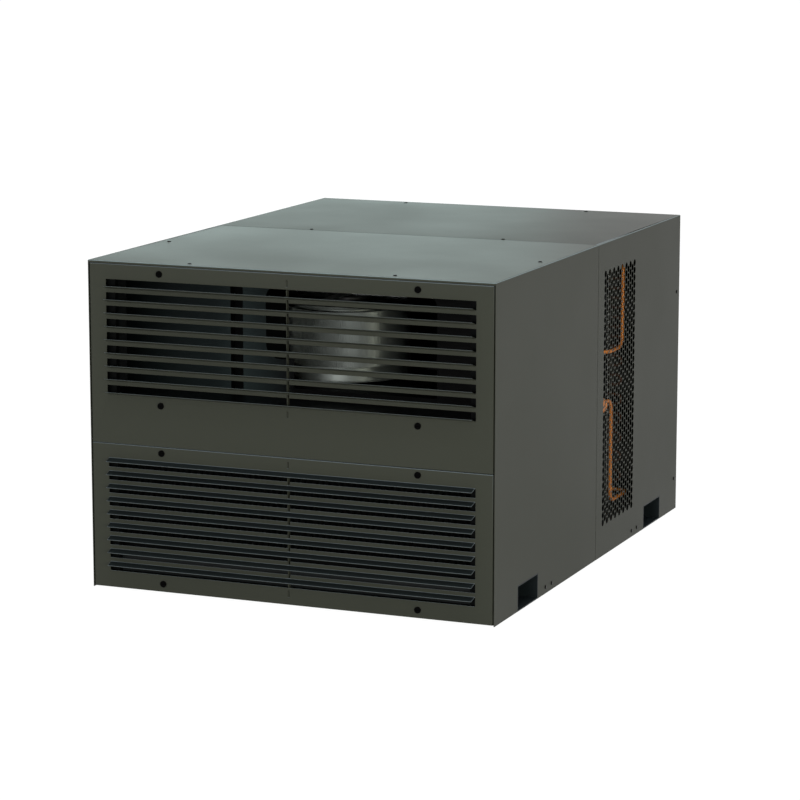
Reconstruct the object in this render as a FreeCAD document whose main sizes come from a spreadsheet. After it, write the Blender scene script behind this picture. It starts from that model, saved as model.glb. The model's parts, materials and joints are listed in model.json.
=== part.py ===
import FreeCAD, Part
import math
import os
import Sketcher
from FreeCAD import Placement, Rotation, Vector

# Monoblock refrigeration unit, millimetres.
# Origin on the floor, in the middle of the unit with its louvre blades; +X right, +Y back, +Z up.
# The cold section is in front of the cover seam, the machine section is behind it.

doc = FreeCAD.newDocument("refrigeration_unit")
sheet = doc.addObject("Spreadsheet::Sheet", "Sizes")


class Dim:
    """A length together with the spreadsheet expression that it comes from."""

    def __init__(self, number, text):
        self.number = float(number)
        self.text = text

    def __add__(self, other):
        return joined(self, "+", other, self.number + number_of(other))

    def __radd__(self, other):
        return joined(other, "+", self, number_of(other) + self.number)

    def __sub__(self, other):
        return joined(self, "-", other, self.number - number_of(other))

    def __rsub__(self, other):
        return joined(other, "-", self, number_of(other) - self.number)

    def __mul__(self, other):
        return joined(self, "*", other, self.number * number_of(other))

    def __rmul__(self, other):
        return joined(other, "*", self, number_of(other) * self.number)

    def __truediv__(self, other):
        return joined(self, "/", other, self.number / number_of(other))

    def __neg__(self):
        return Dim(-self.number, "(-%s)" % self.text)


def number_of(value):
    return value.number if isinstance(value, Dim) else float(value)


def text_of(value):
    return value.text if isinstance(value, Dim) else "(%r)" % float(value)


def joined(left, sign, right, number):
    return Dim(number, "(%s %s %s)" % (text_of(left), sign, text_of(right)))


def size(alias, number, note):
    """Write one driving size to the next row of the sheet and return it."""
    row = size.rows + 1
    size.rows = row
    sheet.set("A%d" % row, alias)
    sheet.set("B%d" % row, str(number))
    sheet.set("C%d" % row, note)
    sheet.setAlias("B%d" % row, alias)
    return Dim(number, "Sizes." + alias)


size.rows = 0

# Cabinet envelope and sheet metal
width = size("cabinetWidth", 1040, "outside, left to right")
depth = size("cabinetDepth", 1392, "outside, front panels to rear panel")
height = size("cabinetHeight", 800, "floor to top of covers")
sheet_t = size("sheetGauge", 1.5, "painted casing sheet")
gap = size("fitGap", 0.3, "clearance between parts that are screwed together")
seam_lead = size("seamLead", 27, "seam of covers and side sheets ahead of the bulkhead")
seam_gap = size("seamGap", 1.5, "open seam between the side sheets")
lip_front = size("coverFrontLip", 6, "front lip of the top cover")
lip_side = size("coverSideLip", 3, "side and rear lips of the covers")
edge_radius = size("coverEdgeRadius", 2.2, "bend radius of the cover edges")
flange = size("topFlange", 42, "inward top flange of the side sheets")
frame_flange = size("frameFlange", 30, "rearward flanges of the front frame")

# Base frame and fork pockets
fork_w = size("forkWidth", 140, "outside width of a fork tube")
fork_h = size("forkHigh", 63, "outside height of a fork tube")
fork_t = size("forkWall", 3, "wall of a fork tube")
fork_front = size("forkFrontInset", 225, "front face to the middle of the front pocket")
fork_rear = size("forkRearInset", 216, "rear face to the middle of the rear pocket")
fork_short = size("forkEndInset", 4, "fork tube end behind the outside of the side sheet")
fork_hem = size("forkHem", 2, "side sheet folded in above a fork cut-out")
rail_h = size("railHigh", 72, "height of the base rails")
rail_w = size("railWide", 40, "flange width of the base rails")
rail_t = size("railWall", 2.5, "wall of the base rails")
pan_t = size("panGauge", 2, "floor sheet")
pan_lip = size("panLip", 15, "turned-up front and rear edges of the floor sheet")

# Front panels and louvres
panel_gap = size("panelGap", 3, "gap beside and below the front panels")
panel_fold = size("panelFold", 12, "depth of the panel return edges")
split = size("panelSplit", 357.5, "height of the joint between the front panels")
split_gap = size("panelSplitGap", 1, "open joint between the front panels")
slot_in = size("slotInset", 47.5, "outside of the cabinet to the end of a louvre opening")
slot_h = size("slotHigh", 21, "height of a louvre opening")
pitch = size("slotPitch", 32, "louvre pitch")
slots = size("slotCount", 9, "louvres in a panel")
blade_out = size("bladeReach", 20, "how far a blade stands out")
blade_rise = size("bladeRise", 7, "how far a blade climbs or drops over its reach")
blade_taper = size("bladeTaper", 2, "blade end set in at the tip")
blade_relief = size("bladeRelief", 1, "blade end set in at the bend")
blade_sink = size("bladeSink", 0.25, "blade top below the edge of its web at the bend")
upper_in = size("upperSlotInset", 44, "top of the covers to the highest supply opening")
lower_in = size("lowerSlotInset", 36, "panel joint to the highest return opening")
rib_t = size("ribGauge", 2, "middle rib behind the louvres")
rib_d = size("ribDeep", 10, "depth of the middle rib")
rib_proud = size("ribProud", 0.5, "rib teeth in front of the panel")
notch_w = size("ribNotchWide", 6, "notch for the rib in the free edge of each web")
notch_h = size("ribNotchHigh", 8, "notch for the rib in the free edge of each web")
hook_h = size("hookSlotHigh", 15.5, "slot that an end of the rib hooks through")
hook_w = size("hookSlotWide", 3.5, "slot that an end of the rib hooks through")
hook_near = size("hookNear", 14.5, "supply openings to the hook above them")
hook_far = size("hookFar", 18.5, "openings to the hooks beside the panel joint")
hook_lower_low = size("hookLowerLow", 29.5, "height of the lower rib's low hook")

# Front frame and quarter-turn fasteners
jamb_in = size("jambInset", 65, "outside of the cabinet to the inner edge of a jamb")
window_lip = size("windowLip", 15, "depth of the lip round each window")
window_edge = size("windowEdge", 4.5, "window edge beyond the louvre field")
stud_x = size("studSpread", 330, "middle to a fastener")
stud_top_in = size("studTopInset", 25.5, "top of the covers to the top fasteners")
stud_below = size("studBelow", 21, "supply openings to the fasteners below them")
stud_above = size("studAbove", 21.3, "return openings to the fasteners above them")
stud_lower_low = size("studLowerLow", 22.8, "height of the bottom fasteners")
head_r = size("studHeadRadius", 8, "fastener head")
head_h = size("studHeadHigh", 2.6, "fastener head")
shank_r = size("studShankRadius", 3.25, "square fastener shank, middle to corner")
shank_gap = size("studHoleGap", 0.5, "clearance round the shank")
pin_l = size("studPinLength", 12, "cross pin of the fastener")
pin_t = size("studPinThick", 2.4, "cross pin of the fastener")
cup_l = size("receptacleLength", 36, "receptacle plate")
cup_h = size("receptacleHigh", 19, "receptacle plate")
cup_t = size("receptacleDeep", 8, "receptacle depth")
cup_r = size("receptacleHole", 7.2, "half of the square hole that the cross pin turns in")

# Casing screws
screw_r = size("screwHeadRadius", 5.3, "casing screw head")
screw_h = size("screwHeadHigh", 1.8, "casing screw head")
cover_screw_x = size("coverScrewSpread", 262.5, "middle to the front and rear cover screws")
cover_screw_in = size("coverScrewInset", 26, "front and rear edge to the cover screws")
side_screw_in = size("coverSideScrewInset", 29, "side edge to the side cover screws")
side_screw_y = size("coverSideScrewDepth", 372.5, "front face to the side cover screws")
seam_screw = size("seamScrewInset", 13, "seam to the screws behind it")
base_screw_z = size("baseScrewHigh", 16.2, "height of the screws into the rails")
base_screw_near = size("baseScrewNear", 54, "pocket edge to its nearer screw")
base_screw_far = size("baseScrewFar", 97, "pocket edge to its farther screw")
back_screw_in = size("backScrewInset", 22, "rear edge to the side screws")
back_screw_low = size("backScrewLow", 85.4, "height of the lower rear screws")
back_screw_top_in = size("backScrewTopInset", 204.5, "top of the covers to the upper rear screws")

# Perforated inlet in the rear side sheets
hole_top_in = size("perforationTopInset", 148, "top of the covers to the highest opening")
hole_web = size("perforationWeb", 11, "sheet between two inlet openings")
hole_rows = size("perforationRows", 9, "openings in a column")
hole_pairs = size("perforationPairs", 2, "pairs of columns")
hole_behind = size("perforationBehind", 54, "bulkhead to the middle of the first column")
hole_low = size("perforationLow", 108, "height of the lowest opening")

# Bulkhead, liner and air path of the cold section
bulk_past = size("bulkheadPastMiddle", 49, "middle of the cabinet back to the bulkhead")
bulk_flange = size("bulkheadFlange", 45, "flanges of the bulkhead")
foam = size("linerWall", 20, "insulation thickness")
liner_front = size("linerFront", 46, "front face to the front edge of the liner")
deck_below = size("plenumFloorBelow", 9, "supply openings to the plenum floor below them")
plate_y = size("dischargePlateDepth", 150, "front face to the discharge plate")
mouth_left = size("mouthLeft", 123, "middle to the left edge of the blower mouth")
mouth_right = size("mouthRight", 317, "middle to the right edge of the blower mouth")
mouth_h = size("mouthHigh", 179, "height of the blower mouth")
mouth_in = size("mouthInset", 57, "top of the covers to the blower mouth")
mouth_radius = size("mouthRadius", 35, "corner radius of the mouth")
mouth_step = size("mouthStep", 69, "how far the right part of the mouth goes below the left part")
mouth_step_x = size("mouthStepLeft", 50, "middle to the left edge of that lower part")
groove_x = size("grooveMiddle", 200, "middle to the vertical groove of the plate")
groove_w = size("grooveWide", 33, "vertical groove of the plate")
groove_d = size("grooveDeep", 22, "vertical groove of the plate")
filter_d = size("filterDeep", 20, "filter cassette")
filter_in = size("filterInset", 40, "outside of the cabinet to the filter cassette")
pleats = size("filterPleats", 24, "pleats of the filter medium")
track_h = size("trackHigh", 12, "filter track")

# Supply blower
wheel_y = size("blowerDepth", 366, "front face to the blower axis")
wheel_r = size("wheelRadius", 150, "blower wheel")
wheel_in = size("wheelInnerRadius", 124, "inside of the blades")
wheel_h = size("wheelHigh", 186, "blade length")
wheel_blades = size("wheelBlades", 16, "blades of the wheel")
blade_t = size("wheelBladeGauge", 1.5, "blade and ring sheet")
scroll_start = size("scrollStart", 172, "scroll radius at the tongue")
cheek_t = size("cheekGauge", 1.5, "galvanised housing sheet")
house_below = size("housingBelow", 46, "top of the mouth to the top of the blower housing")
inlet_r = size("inletRadius", 128, "inlet hole of a cheek")
motor_r = size("blowerMotorRadius", 55, "blower motor")
motor_h = size("blowerMotorHigh", 85, "blower motor")
shaft_r = size("blowerShaftRadius", 7, "blower shaft")
arm_w = size("motorArmWide", 30, "motor bracket arms")
arm_t = size("motorArmGauge", 4, "motor bracket arms")

# Evaporator and drain
evap_in = size("evaporatorInset", 90, "outside of the cabinet to the fin pack")
evap_d = size("evaporatorDeep", 90, "fin pack, front to back")
evap_room = size("evaporatorHeadroom", 43.7, "fin pack to the plenum floor above it")
evap_y = size("evaporatorDepth", 110, "front face to the fin pack")
fin_pitch = size("finPitch", 30, "pitch of the drawn fins")
fin_t = size("finThick", 3, "drawn fin")
fin_web = size("finWeb", 8, "solid back of the drawn fin pack")
end_t = size("coilEndGauge", 2, "coil end plate")
end_lip = size("coilEndLip", 10, "end plate beyond the fins")
header_r = size("headerRadius", 11, "coil header tube")
tube_r = size("tubeRadius", 4.75, "refrigerant tube")
tube_sides = size("tubeSides", 8, "flats that stand for a tube's round outside")
drain_h = size("drainPanHigh", 22, "condensate tray")
drain_t = size("drainPanGauge", 1.5, "condensate tray")
drain_r = size("drainRadius", 9.5, "drain pipe")
drain_bore = size("drainBore", 8, "drain pipe bore")
drain_side = size("drainSideInset", 90, "end of the fin pack to the drain pipe")
drain_in = size("drainInset", 5, "front of the fins to the drain pipe")
drain_end = size("drainEnd", 25, "drain pipe end above the floor")

# Compressor and lines
comp_x = size("compressorLeft", 150, "middle to the compressor axis, to the left")
comp_behind = size("compressorBehind", 160, "bulkhead to the compressor axis")
comp_r = size("compressorRadius", 98, "compressor shell")
comp_h = size("compressorHigh", 330, "compressor shell")
comp_dome = size("compressorDome", 48, "radius of the shell ends")
comp_foot = size("compressorFootWide", 230, "foot plate, square")
comp_foot_t = size("compressorFootGauge", 4, "foot plate")
foot_h = size("rubberFootHigh", 18, "rubber feet")
foot_r = size("rubberFootRadius", 16, "rubber feet")
foot_x = size("rubberFootSpread", 90, "axis to a rubber foot")
acc_x = size("accumulatorSpread", 150, "compressor axis to the accumulator axis")
acc_r = size("accumulatorRadius", 38, "suction accumulator")
acc_h = size("accumulatorHigh", 220, "suction accumulator")
acc_z = size("accumulatorLow", 110, "floor to the accumulator")
drier_r = size("drierRadius", 22, "filter drier")
drier_l = size("drierLength", 95, "filter drier")
bend = size("lineBend", 26, "bend radius of the lines")
line_in = size("lineInset", 35, "outside of the cabinet to the lines on the right")
riser_behind = size("riserBehind", 270, "bulkhead to the discharge riser")
riser_z = size("riserLow", 500, "foot of the discharge riser")
cond_inlet_in = size("condenserInletInset", 80, "top of the covers to the condenser inlet")
cond_out = size("condenserOutlet", 108, "height of the condenser outlet")
down_behind = size("liquidBehind", 185, "bulkhead to the liquid line's upright run")
liquid_below = size("liquidBelow", 51.3, "top of the evaporator to the liquid line below it")
drier_behind = size("drierBehind", 18, "bulkhead to the front end of the drier")
suction_r = size("suctionRadius", 8, "suction tube")
suction_in = size("suctionInset", 63, "outside of the cabinet to the suction line and header")
suction_above = size("suctionAbove", 31.7, "top of the evaporator to the suction line above it")
suction_behind = size("suctionBehind", 87, "bulkhead to the suction line's cross run")
tube_hole = size("tubeHoleGap", 3, "clearance round a tube in the bulkhead")
valve_w = size("valveWide", 22, "expansion valve body")

# Condenser and its fan
cond_behind = size("condenserBehind", 295, "bulkhead to the condenser fins")
cond_d = size("condenserDeep", 70, "fin pack, front to back")
cond_side = size("condenserInset", 80, "outside of the cabinet to the fin pack")
cond_room = size("condenserHeadroom", 140, "cabinet height beyond that of the fin pack")
bends = size("returnBends", 3, "drawn return bends")
bend_pitch = size("returnBendPitch", 25.4, "tube spacing that a return bend spans")
bend_stub = size("returnBendStub", 10, "straight tube outside the end plate")
fan_in = size("fanInset", 62, "rear face to the middle of the fan blades")
fan_lift = size("fanLift", 25, "fan axis above the middle of the cabinet")
fan_r = size("fanRadius", 275, "fan blade tips")
fan_gap = size("fanTipGap", 8, "running gap round the fan")
hub_r = size("hubRadius", 75, "fan hub")
hub_h = size("hubDeep", 50, "fan hub")
fan_blades = size("fanBlades", 6, "fan blades")
fan_chord = size("fanChord", 120, "blade chord at the hub")
fan_chord_tip = size("fanTipChord", 165, "blade chord at the tip")
fan_t = size("fanBladeGauge", 3, "blade thickness")
fan_motor_r = size("fanMotorRadius", 62, "fan motor")
fan_motor_l = size("fanMotorLength", 90, "fan motor")
fan_shaft_r = size("fanShaftRadius", 7, "fan shaft")
shroud_w = size("shroudWide", 620, "fan shroud plate, square")
collar = size("shroudCollar", 70, "depth of the shroud collar")
wire = size("guardWire", 3, "guard wire")
wire_pitch = size("guardPitch", 40, "guard wire pitch")
wires = size("guardWires", 14, "guard wires each way")

# Cable entry and electrical box
gland_side = size("glandInset", 100, "outside of the cabinet to the cable gland")
gland_z = size("glandHigh", 130, "height of the cable gland")
gland_r = size("glandRadius", 14, "cable gland nut")
gland_hole = size("glandHoleRadius", 10, "hole of the gland in the rear panel")
gland_bore = size("glandBore", 6.5, "cable bore of the gland")
gland_in = size("glandInside", 20, "length of the gland inside the panel")
ebox_side = size("boxInset", 320, "outside of the cabinet to its right side")
ebox_w = size("boxWide", 280, "left to right")
ebox_d = size("boxDeep", 105, "front to back")
ebox_h = size("boxHigh", 320, "height")
ebox_in = size("boxTopInset", 30, "top of the covers to its roof")
contact_w = size("contactorWide", 45, "contactor")
contact_d = size("contactorDeep", 60, "contactor")
contact_h = size("contactorHigh", 80, "contactor")

doc.recompute()

# Planes that the pieces share
half = width / 2
front = -depth / 2 + blade_out / 2
back = front + depth
inside = half - sheet_t
cover_z = height - sheet_t
shelf_z = height - lip_side
flange_z = shelf_z - sheet_t
bulk_y = front + depth / 2 + bulk_past
seam_y = bulk_y - seam_lead
frame_y = front + sheet_t + panel_fold + gap
frame_back = frame_y + sheet_t
rail_front = frame_back + window_lip
rear_face = back - sheet_t
pocket_front = front + fork_front
pocket_rear = back - fork_rear
pan_z = rail_h + pan_t
slot_l = width - slot_in * 2
field_h = pitch * (slots - 1) + slot_h
upper_top = height - upper_in
upper_low = upper_top - field_h
lower_top = split - lower_in
hook_upper_top = upper_top + hook_near
hook_upper_low = upper_low - hook_far
hook_lower_top = lower_top + hook_far
stud_upper_top = height - stud_top_in
stud_upper_low = upper_low - stud_below
stud_lower_top = lower_top + stud_above
jamb = half - jamb_in
back_screw_top = height - back_screw_top_in
hole_pitch = (height - hole_top_in - hole_low) / (hole_rows - 1)
hole_flat = hole_pitch - hole_web
deck_z = upper_low - deck_below
mouth_top = height - mouth_in
mouth_low = mouth_top - mouth_h
house_top = mouth_top - house_below
house_low = mouth_low - mouth_step
house_middle = (house_low + house_top) / 2
filter_w = width - filter_in * 2
liner_x = inside - sheet_t
liner_y = front + liner_front
plenum_x = liner_x - foam
roof_z = flange_z - foam
floor_z = pan_z + foam
plate_front = front + plate_y
plate_back = plate_front + sheet_t
axis_y = front + wheel_y
flange_in = inside - flange
evap_front = front + evap_y
evap_z = floor_z + drain_h + gap
evap_w = width - evap_in * 2
evap_h = deck_z - evap_z - evap_room
evap_top = evap_z + evap_h
liquid_z = evap_top - liquid_below
suction_z = evap_top + suction_above
drain_x = evap_w / 2 - drain_side
coil_y = evap_front + evap_d / 2
drain_y = evap_front + drain_in
comp_y = bulk_y + comp_behind
line_x = half - line_in
suction_x = half - suction_in
cond_front = bulk_y + cond_behind
cond_z = pan_z + foam
cond_w = width - cond_side * 2
cond_h = height - cond_room
cond_in = height - cond_inlet_in
line_back = cond_front + cond_d / 2
comp_top = pan_z + foot_h + comp_h
fan_axis_y = back - fan_in
fan_z = height / 2 + fan_lift
gland_x = half - gland_side
ebox_x = half - ebox_side
ebox_z = height - ebox_in - ebox_h

nodes = []

# Helpers for the document


def bind(piece, prop, value):
    piece.setExpression(prop, text_of(value))


def place(piece, x, y, z):
    bind(piece, "Placement.Base.x", x)
    bind(piece, "Placement.Base.y", y)
    bind(piece, "Placement.Base.z", z)


def box(name, xs, ys, zs):
    """A block between two values on each axis."""
    piece = doc.addObject("Part::Box", name)
    bind(piece, "Length", xs[1] - xs[0])
    bind(piece, "Width", ys[1] - ys[0])
    bind(piece, "Height", zs[1] - zs[0])
    place(piece, xs[0], ys[0], zs[0])
    return piece


TURNS = {"X": Rotation(Vector(0, 1, 0), 90), "Y": Rotation(Vector(1, 0, 0), -90), "Z": Rotation()}


def rod(name, axis, start, radius, length):
    """A cylinder from its start point along an axis."""
    piece = doc.addObject("Part::Cylinder", name)
    piece.Placement = Placement(Vector(), TURNS[axis])
    bind(piece, "Radius", radius)
    bind(piece, "Height", length)
    place(piece, *start)
    return piece


def fuse(name, pieces):
    piece = doc.addObject("Part::MultiFuse", name)
    piece.Shapes = pieces
    piece.Refine = True
    return piece


def cut(name, base, tools):
    piece = doc.addObject("Part::Cut", name)
    piece.Base = base
    piece.Tool = tools[0] if len(tools) == 1 else fuse(name + "_tools", tools)
    piece.Refine = True
    return piece


def group(name, pieces):
    """Separate solids that share one node."""
    piece = doc.addObject("Part::Compound", name)
    piece.Links = pieces
    return piece


def mirrored(name, source):
    """A copy on the other side of the middle plane."""
    piece = doc.addObject("Part::Mirroring", name)
    piece.Source = source
    piece.Normal = Vector(1, 0, 0)
    return piece


def shaped(name, shape):
    piece = doc.addObject("Part::Feature", name)
    piece.Shape = shape
    return piece


def keep(piece, label):
    piece.Label = label
    nodes.append(piece)
    return piece


# Each plane's name, and the sense of its normal along the world axis
SENSE = {"XY": 1, "XZ": -1, "YZ": 1}


def sketch_on(body, name, plane, at=0):
    """A sketch on the body's own plane, moved to a place along that plane's axis."""
    sketch = body.newObject("Sketcher::SketchObject", name)
    role = plane + "_Plane"
    datum = [item for item in body.Origin.OriginFeatures if item.Role == role][0]
    sketch.AttachmentSupport = (datum, [""])
    sketch.MapMode = "FlatFace"
    bind(sketch, "AttachmentOffset.Base.z", at * SENSE[plane])
    sketch.Label = name
    return sketch


def polygon(sketch, points):
    """A closed outline whose corners are held by the sheet."""
    spots = [Vector(number_of(x), number_of(y), 0) for x, y in points]
    sides = [Part.LineSegment(spots[i], spots[(i + 1) % len(spots)]) for i in range(len(spots))]
    lines = list(sketch.addGeometry(sides, False))
    rules = []
    for i, line in enumerate(lines):
        rules.append(Sketcher.Constraint("Coincident", line, 2, lines[(i + 1) % len(lines)], 1))
    first = sketch.ConstraintCount + len(rules)
    for line, spot in zip(lines, spots):
        rules.append(Sketcher.Constraint("DistanceX", -1, 1, line, 1, spot.x))
        rules.append(Sketcher.Constraint("DistanceY", -1, 1, line, 1, spot.y))
    sketch.addConstraint(rules)
    for i, (x, y) in enumerate(points):
        sketch.setExpression("Constraints[%d]" % (first + 2 * i), text_of(x))
        sketch.setExpression("Constraints[%d]" % (first + 2 * i + 1), text_of(y))


def rectangle(sketch, xs, ys):
    polygon(sketch, [(xs[0], ys[0]), (xs[1], ys[0]), (xs[1], ys[1]), (xs[0], ys[1])])


def circle(sketch, x, y, radius):
    spot = Vector(number_of(x), number_of(y), 0)
    ring = sketch.addGeometry(Part.Circle(spot, Vector(0, 0, 1), number_of(radius)), False)
    first = sketch.ConstraintCount
    sketch.addConstraint([
        Sketcher.Constraint("DistanceX", -1, 1, ring, 3, spot.x),
        Sketcher.Constraint("DistanceY", -1, 1, ring, 3, spot.y),
        Sketcher.Constraint("Radius", ring, number_of(radius)),
    ])
    for i, value in enumerate((x, y, radius)):
        sketch.setExpression("Constraints[%d]" % (first + i), text_of(value))


def pad(body, name, sketch, plane, length, toward=1):
    feature = body.newObject("PartDesign::Pad", name)
    feature.Profile = sketch
    bind(feature, "Length", length)
    feature.Reversed = toward != SENSE[plane]
    return feature


def pocket_through(body, name, sketch):
    feature = body.newObject("PartDesign::Pocket", name)
    feature.Profile = sketch
    feature.Type = "ThroughAll"
    feature.Midplane = True
    return feature


def pocket_blind(body, name, sketch, plane, length, toward):
    feature = body.newObject("PartDesign::Pocket", name)
    feature.Profile = sketch
    bind(feature, "Length", length)
    feature.Reversed = toward == SENSE[plane]
    return feature


def column(body, name, features, sketch, axis, length, count, down=False):
    """A row of copies along one of the sketch's axes."""
    pattern = body.newObject("PartDesign::LinearPattern", name)
    pattern.Originals = features
    pattern.Direction = (sketch, [axis])
    pattern.Reversed = down
    bind(pattern, "Length", length)
    bind(pattern, "Occurrences", count)
    body.Tip = pattern
    return pattern


def new_body(name):
    return doc.addObject("PartDesign::Body", name)


def ring_face(middle, along, radius):
    """A tube's section: a regular polygon of the tube's own area, square to its run."""
    sides = int(number_of(tube_sides))
    turn = 2 * math.pi / sides
    reach = radius * math.sqrt(turn / math.sin(turn))
    across = Vector(0, 0, 1) if abs(along.z) < 0.5 else Vector(0, 1, 0)
    other = along.cross(across)
    corners = []
    for i in range(sides + 1):
        spin = turn * (i + 0.5)
        corners.append(middle + across * (reach * math.cos(spin)) + other * (reach * math.sin(spin)))
    return Part.Face(Part.makePolygon(corners))


def tube(name, points, radius, bend_radius):
    """A bent refrigerant tube: straight runs and round bends, closed at its brazed ends."""
    spots = [Vector(*[number_of(value) for value in point]) for point in points]
    section = number_of(radius)
    bend_r = number_of(bend_radius)
    pieces = []
    start = spots[0]
    length = 0
    for i in range(1, len(spots)):
        into = (spots[i] - spots[i - 1]).normalize()
        last = i == len(spots) - 1
        away = into if last else (spots[i + 1] - spots[i]).normalize()
        turn = into.getAngle(away)
        trim = bend_r * math.tan(turn / 2)
        first = spots[i] - into * trim
        run = (first - start).Length
        if run > bend_r / 1000:
            pieces.append(ring_face(start, into, section).extrude(into * run))
        if not last:
            centre = first + (away - into * away.dot(into)).normalize() * bend_r
            axis = into.cross(away)
            pieces.append(ring_face(first, into, section).revolve(centre, axis, math.degrees(turn)))
        length += run + bend_r * turn
        start = spots[i] + away * trim
    solid = pieces[0].fuse(pieces[1:]).removeSplitter()
    share = solid.Volume / (math.pi * section ** 2 * length)
    print("%s: length %.0f, volume share %.3f" % (name, length, share))
    return shaped(name, solid)


# Base frame


def fork_tube(name, middle):
    body = new_body(name)
    section = sketch_on(body, name + "_section", "YZ", -half + fork_short)
    rectangle(section, (middle - fork_w / 2, middle + fork_w / 2), (0, fork_h))
    bore = (middle - fork_w / 2 + fork_t, middle + fork_w / 2 - fork_t)
    rectangle(section, bore, (fork_t, fork_h - fork_t))
    pad(body, name + "_length", section, "YZ", width - fork_short * 2)
    return keep(body, name)


def channel(name, outer, inner):
    """A folded channel: the outer block less its inside."""
    return cut(name, box(name + "_outside", *outer), [box(name + "_inside", *inner)])


def base_frame():
    """Channels round the floor; the side rails are welded on between the fork tubes."""
    web = inside - rail_t
    reach = fork_w / 2 + gap
    spans = [(rail_front, pocket_front - reach), (pocket_front + reach, pocket_rear - reach),
             (pocket_rear + reach, rear_face)]
    rails = []
    for i, ends in enumerate(spans):
        right = channel(
            "side_rail_%d" % (i + 1),
            ((inside - rail_w, inside), ends, (0, rail_h)),
            ((inside - rail_w, web), ends, (rail_t, rail_h - rail_t)),
        )
        rails += [right, mirrored("side_rail_left_%d" % (i + 1), right)]
    across = (-inside + rail_w, inside - rail_w)
    rails.append(channel(
        "front_rail",
        (across, (rail_front, rail_front + rail_w), (0, rail_h)),
        (across, (rail_front + rail_t, rail_front + rail_w), (rail_t, rail_h - rail_t)),
    ))
    rails.append(channel(
        "rear_rail",
        (across, (rear_face - rail_w, rear_face), (0, rail_h)),
        (across, (rear_face - rail_w, rear_face - rail_t), (rail_t, rail_h - rail_t)),
    ))
    keep(group("base_rails", rails), "base_rails")


def base_pan():
    """The floor sheet, turned up at the front and the rear, with the drain hole."""
    body = new_body("base_pan")
    ends = (rail_front, rear_face)
    floor = sketch_on(body, "pan_floor", "XY", rail_h)
    rectangle(floor, (-inside, inside), ends)
    circle(floor, drain_x, drain_y, drain_r + gap)
    pad(body, "pan_sheet", floor, "XY", pan_t)
    edges = sketch_on(body, "pan_edges", "XY", pan_z)
    lip_x = liner_x - foam
    rectangle(edges, (-lip_x, lip_x), (ends[0], ends[0] + pan_t))
    rectangle(edges, (-lip_x, lip_x), (ends[1] - pan_t, ends[1]))
    pad(body, "pan_lips", edges, "XY", pan_lip)
    keep(body, "base_pan")


# Front frame and louvred panels

FASTENER_HEIGHTS = (stud_upper_top, stud_upper_low, stud_lower_top, stud_lower_low)
FASTENERS = [(x, z) for z in FASTENER_HEIGHTS for x in (-stud_x, stud_x)]


def front_frame():
    body = new_body("front_frame")
    face = sketch_on(body, "frame_face", "XZ", frame_y)
    rectangle(face, (-inside, inside), (0, flange_z))
    windows = []
    for top in (upper_top, lower_top):
        windows.append(((-jamb, jamb), (top - field_h - window_edge, top + window_edge)))
    for window in windows:
        rectangle(face, *window)
    for x, z in FASTENERS:
        rectangle(face, (x - cup_r, x + cup_r), (z - cup_r, z + cup_r))
    pad(body, "frame_sheet", face, "XZ", sheet_t)
    for i, (xs, zs) in enumerate(windows):
        lip = sketch_on(body, "window_lip_%d" % (i + 1), "XZ", frame_back)
        rectangle(lip, (xs[0] - sheet_t, xs[1] + sheet_t), (zs[0] - sheet_t, zs[1] + sheet_t))
        rectangle(lip, xs, zs)
        pad(body, "window_lips_%d" % (i + 1), lip, "XZ", window_lip)
    sides = sketch_on(body, "frame_sides", "XY", pan_z)
    feet = sketch_on(body, "frame_feet", "XY")
    for xs in ((-inside, -liner_x), (liner_x, inside)):
        rectangle(sides, xs, (frame_back, frame_back + frame_flange))
        rectangle(feet, xs, (frame_back, rail_front))
    pad(body, "frame_side_flanges", sides, "XY", flange_z - pan_z)
    pad(body, "frame_foot_flanges", feet, "XY", pan_z)
    top = sketch_on(body, "frame_top", "XY", flange_z)
    rectangle(top, (-flange_in + gap, flange_in - gap), (frame_y, frame_back + frame_flange))
    pad(body, "frame_top_flange", top, "XY", sheet_t)
    keep(body, "front_frame")


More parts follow.
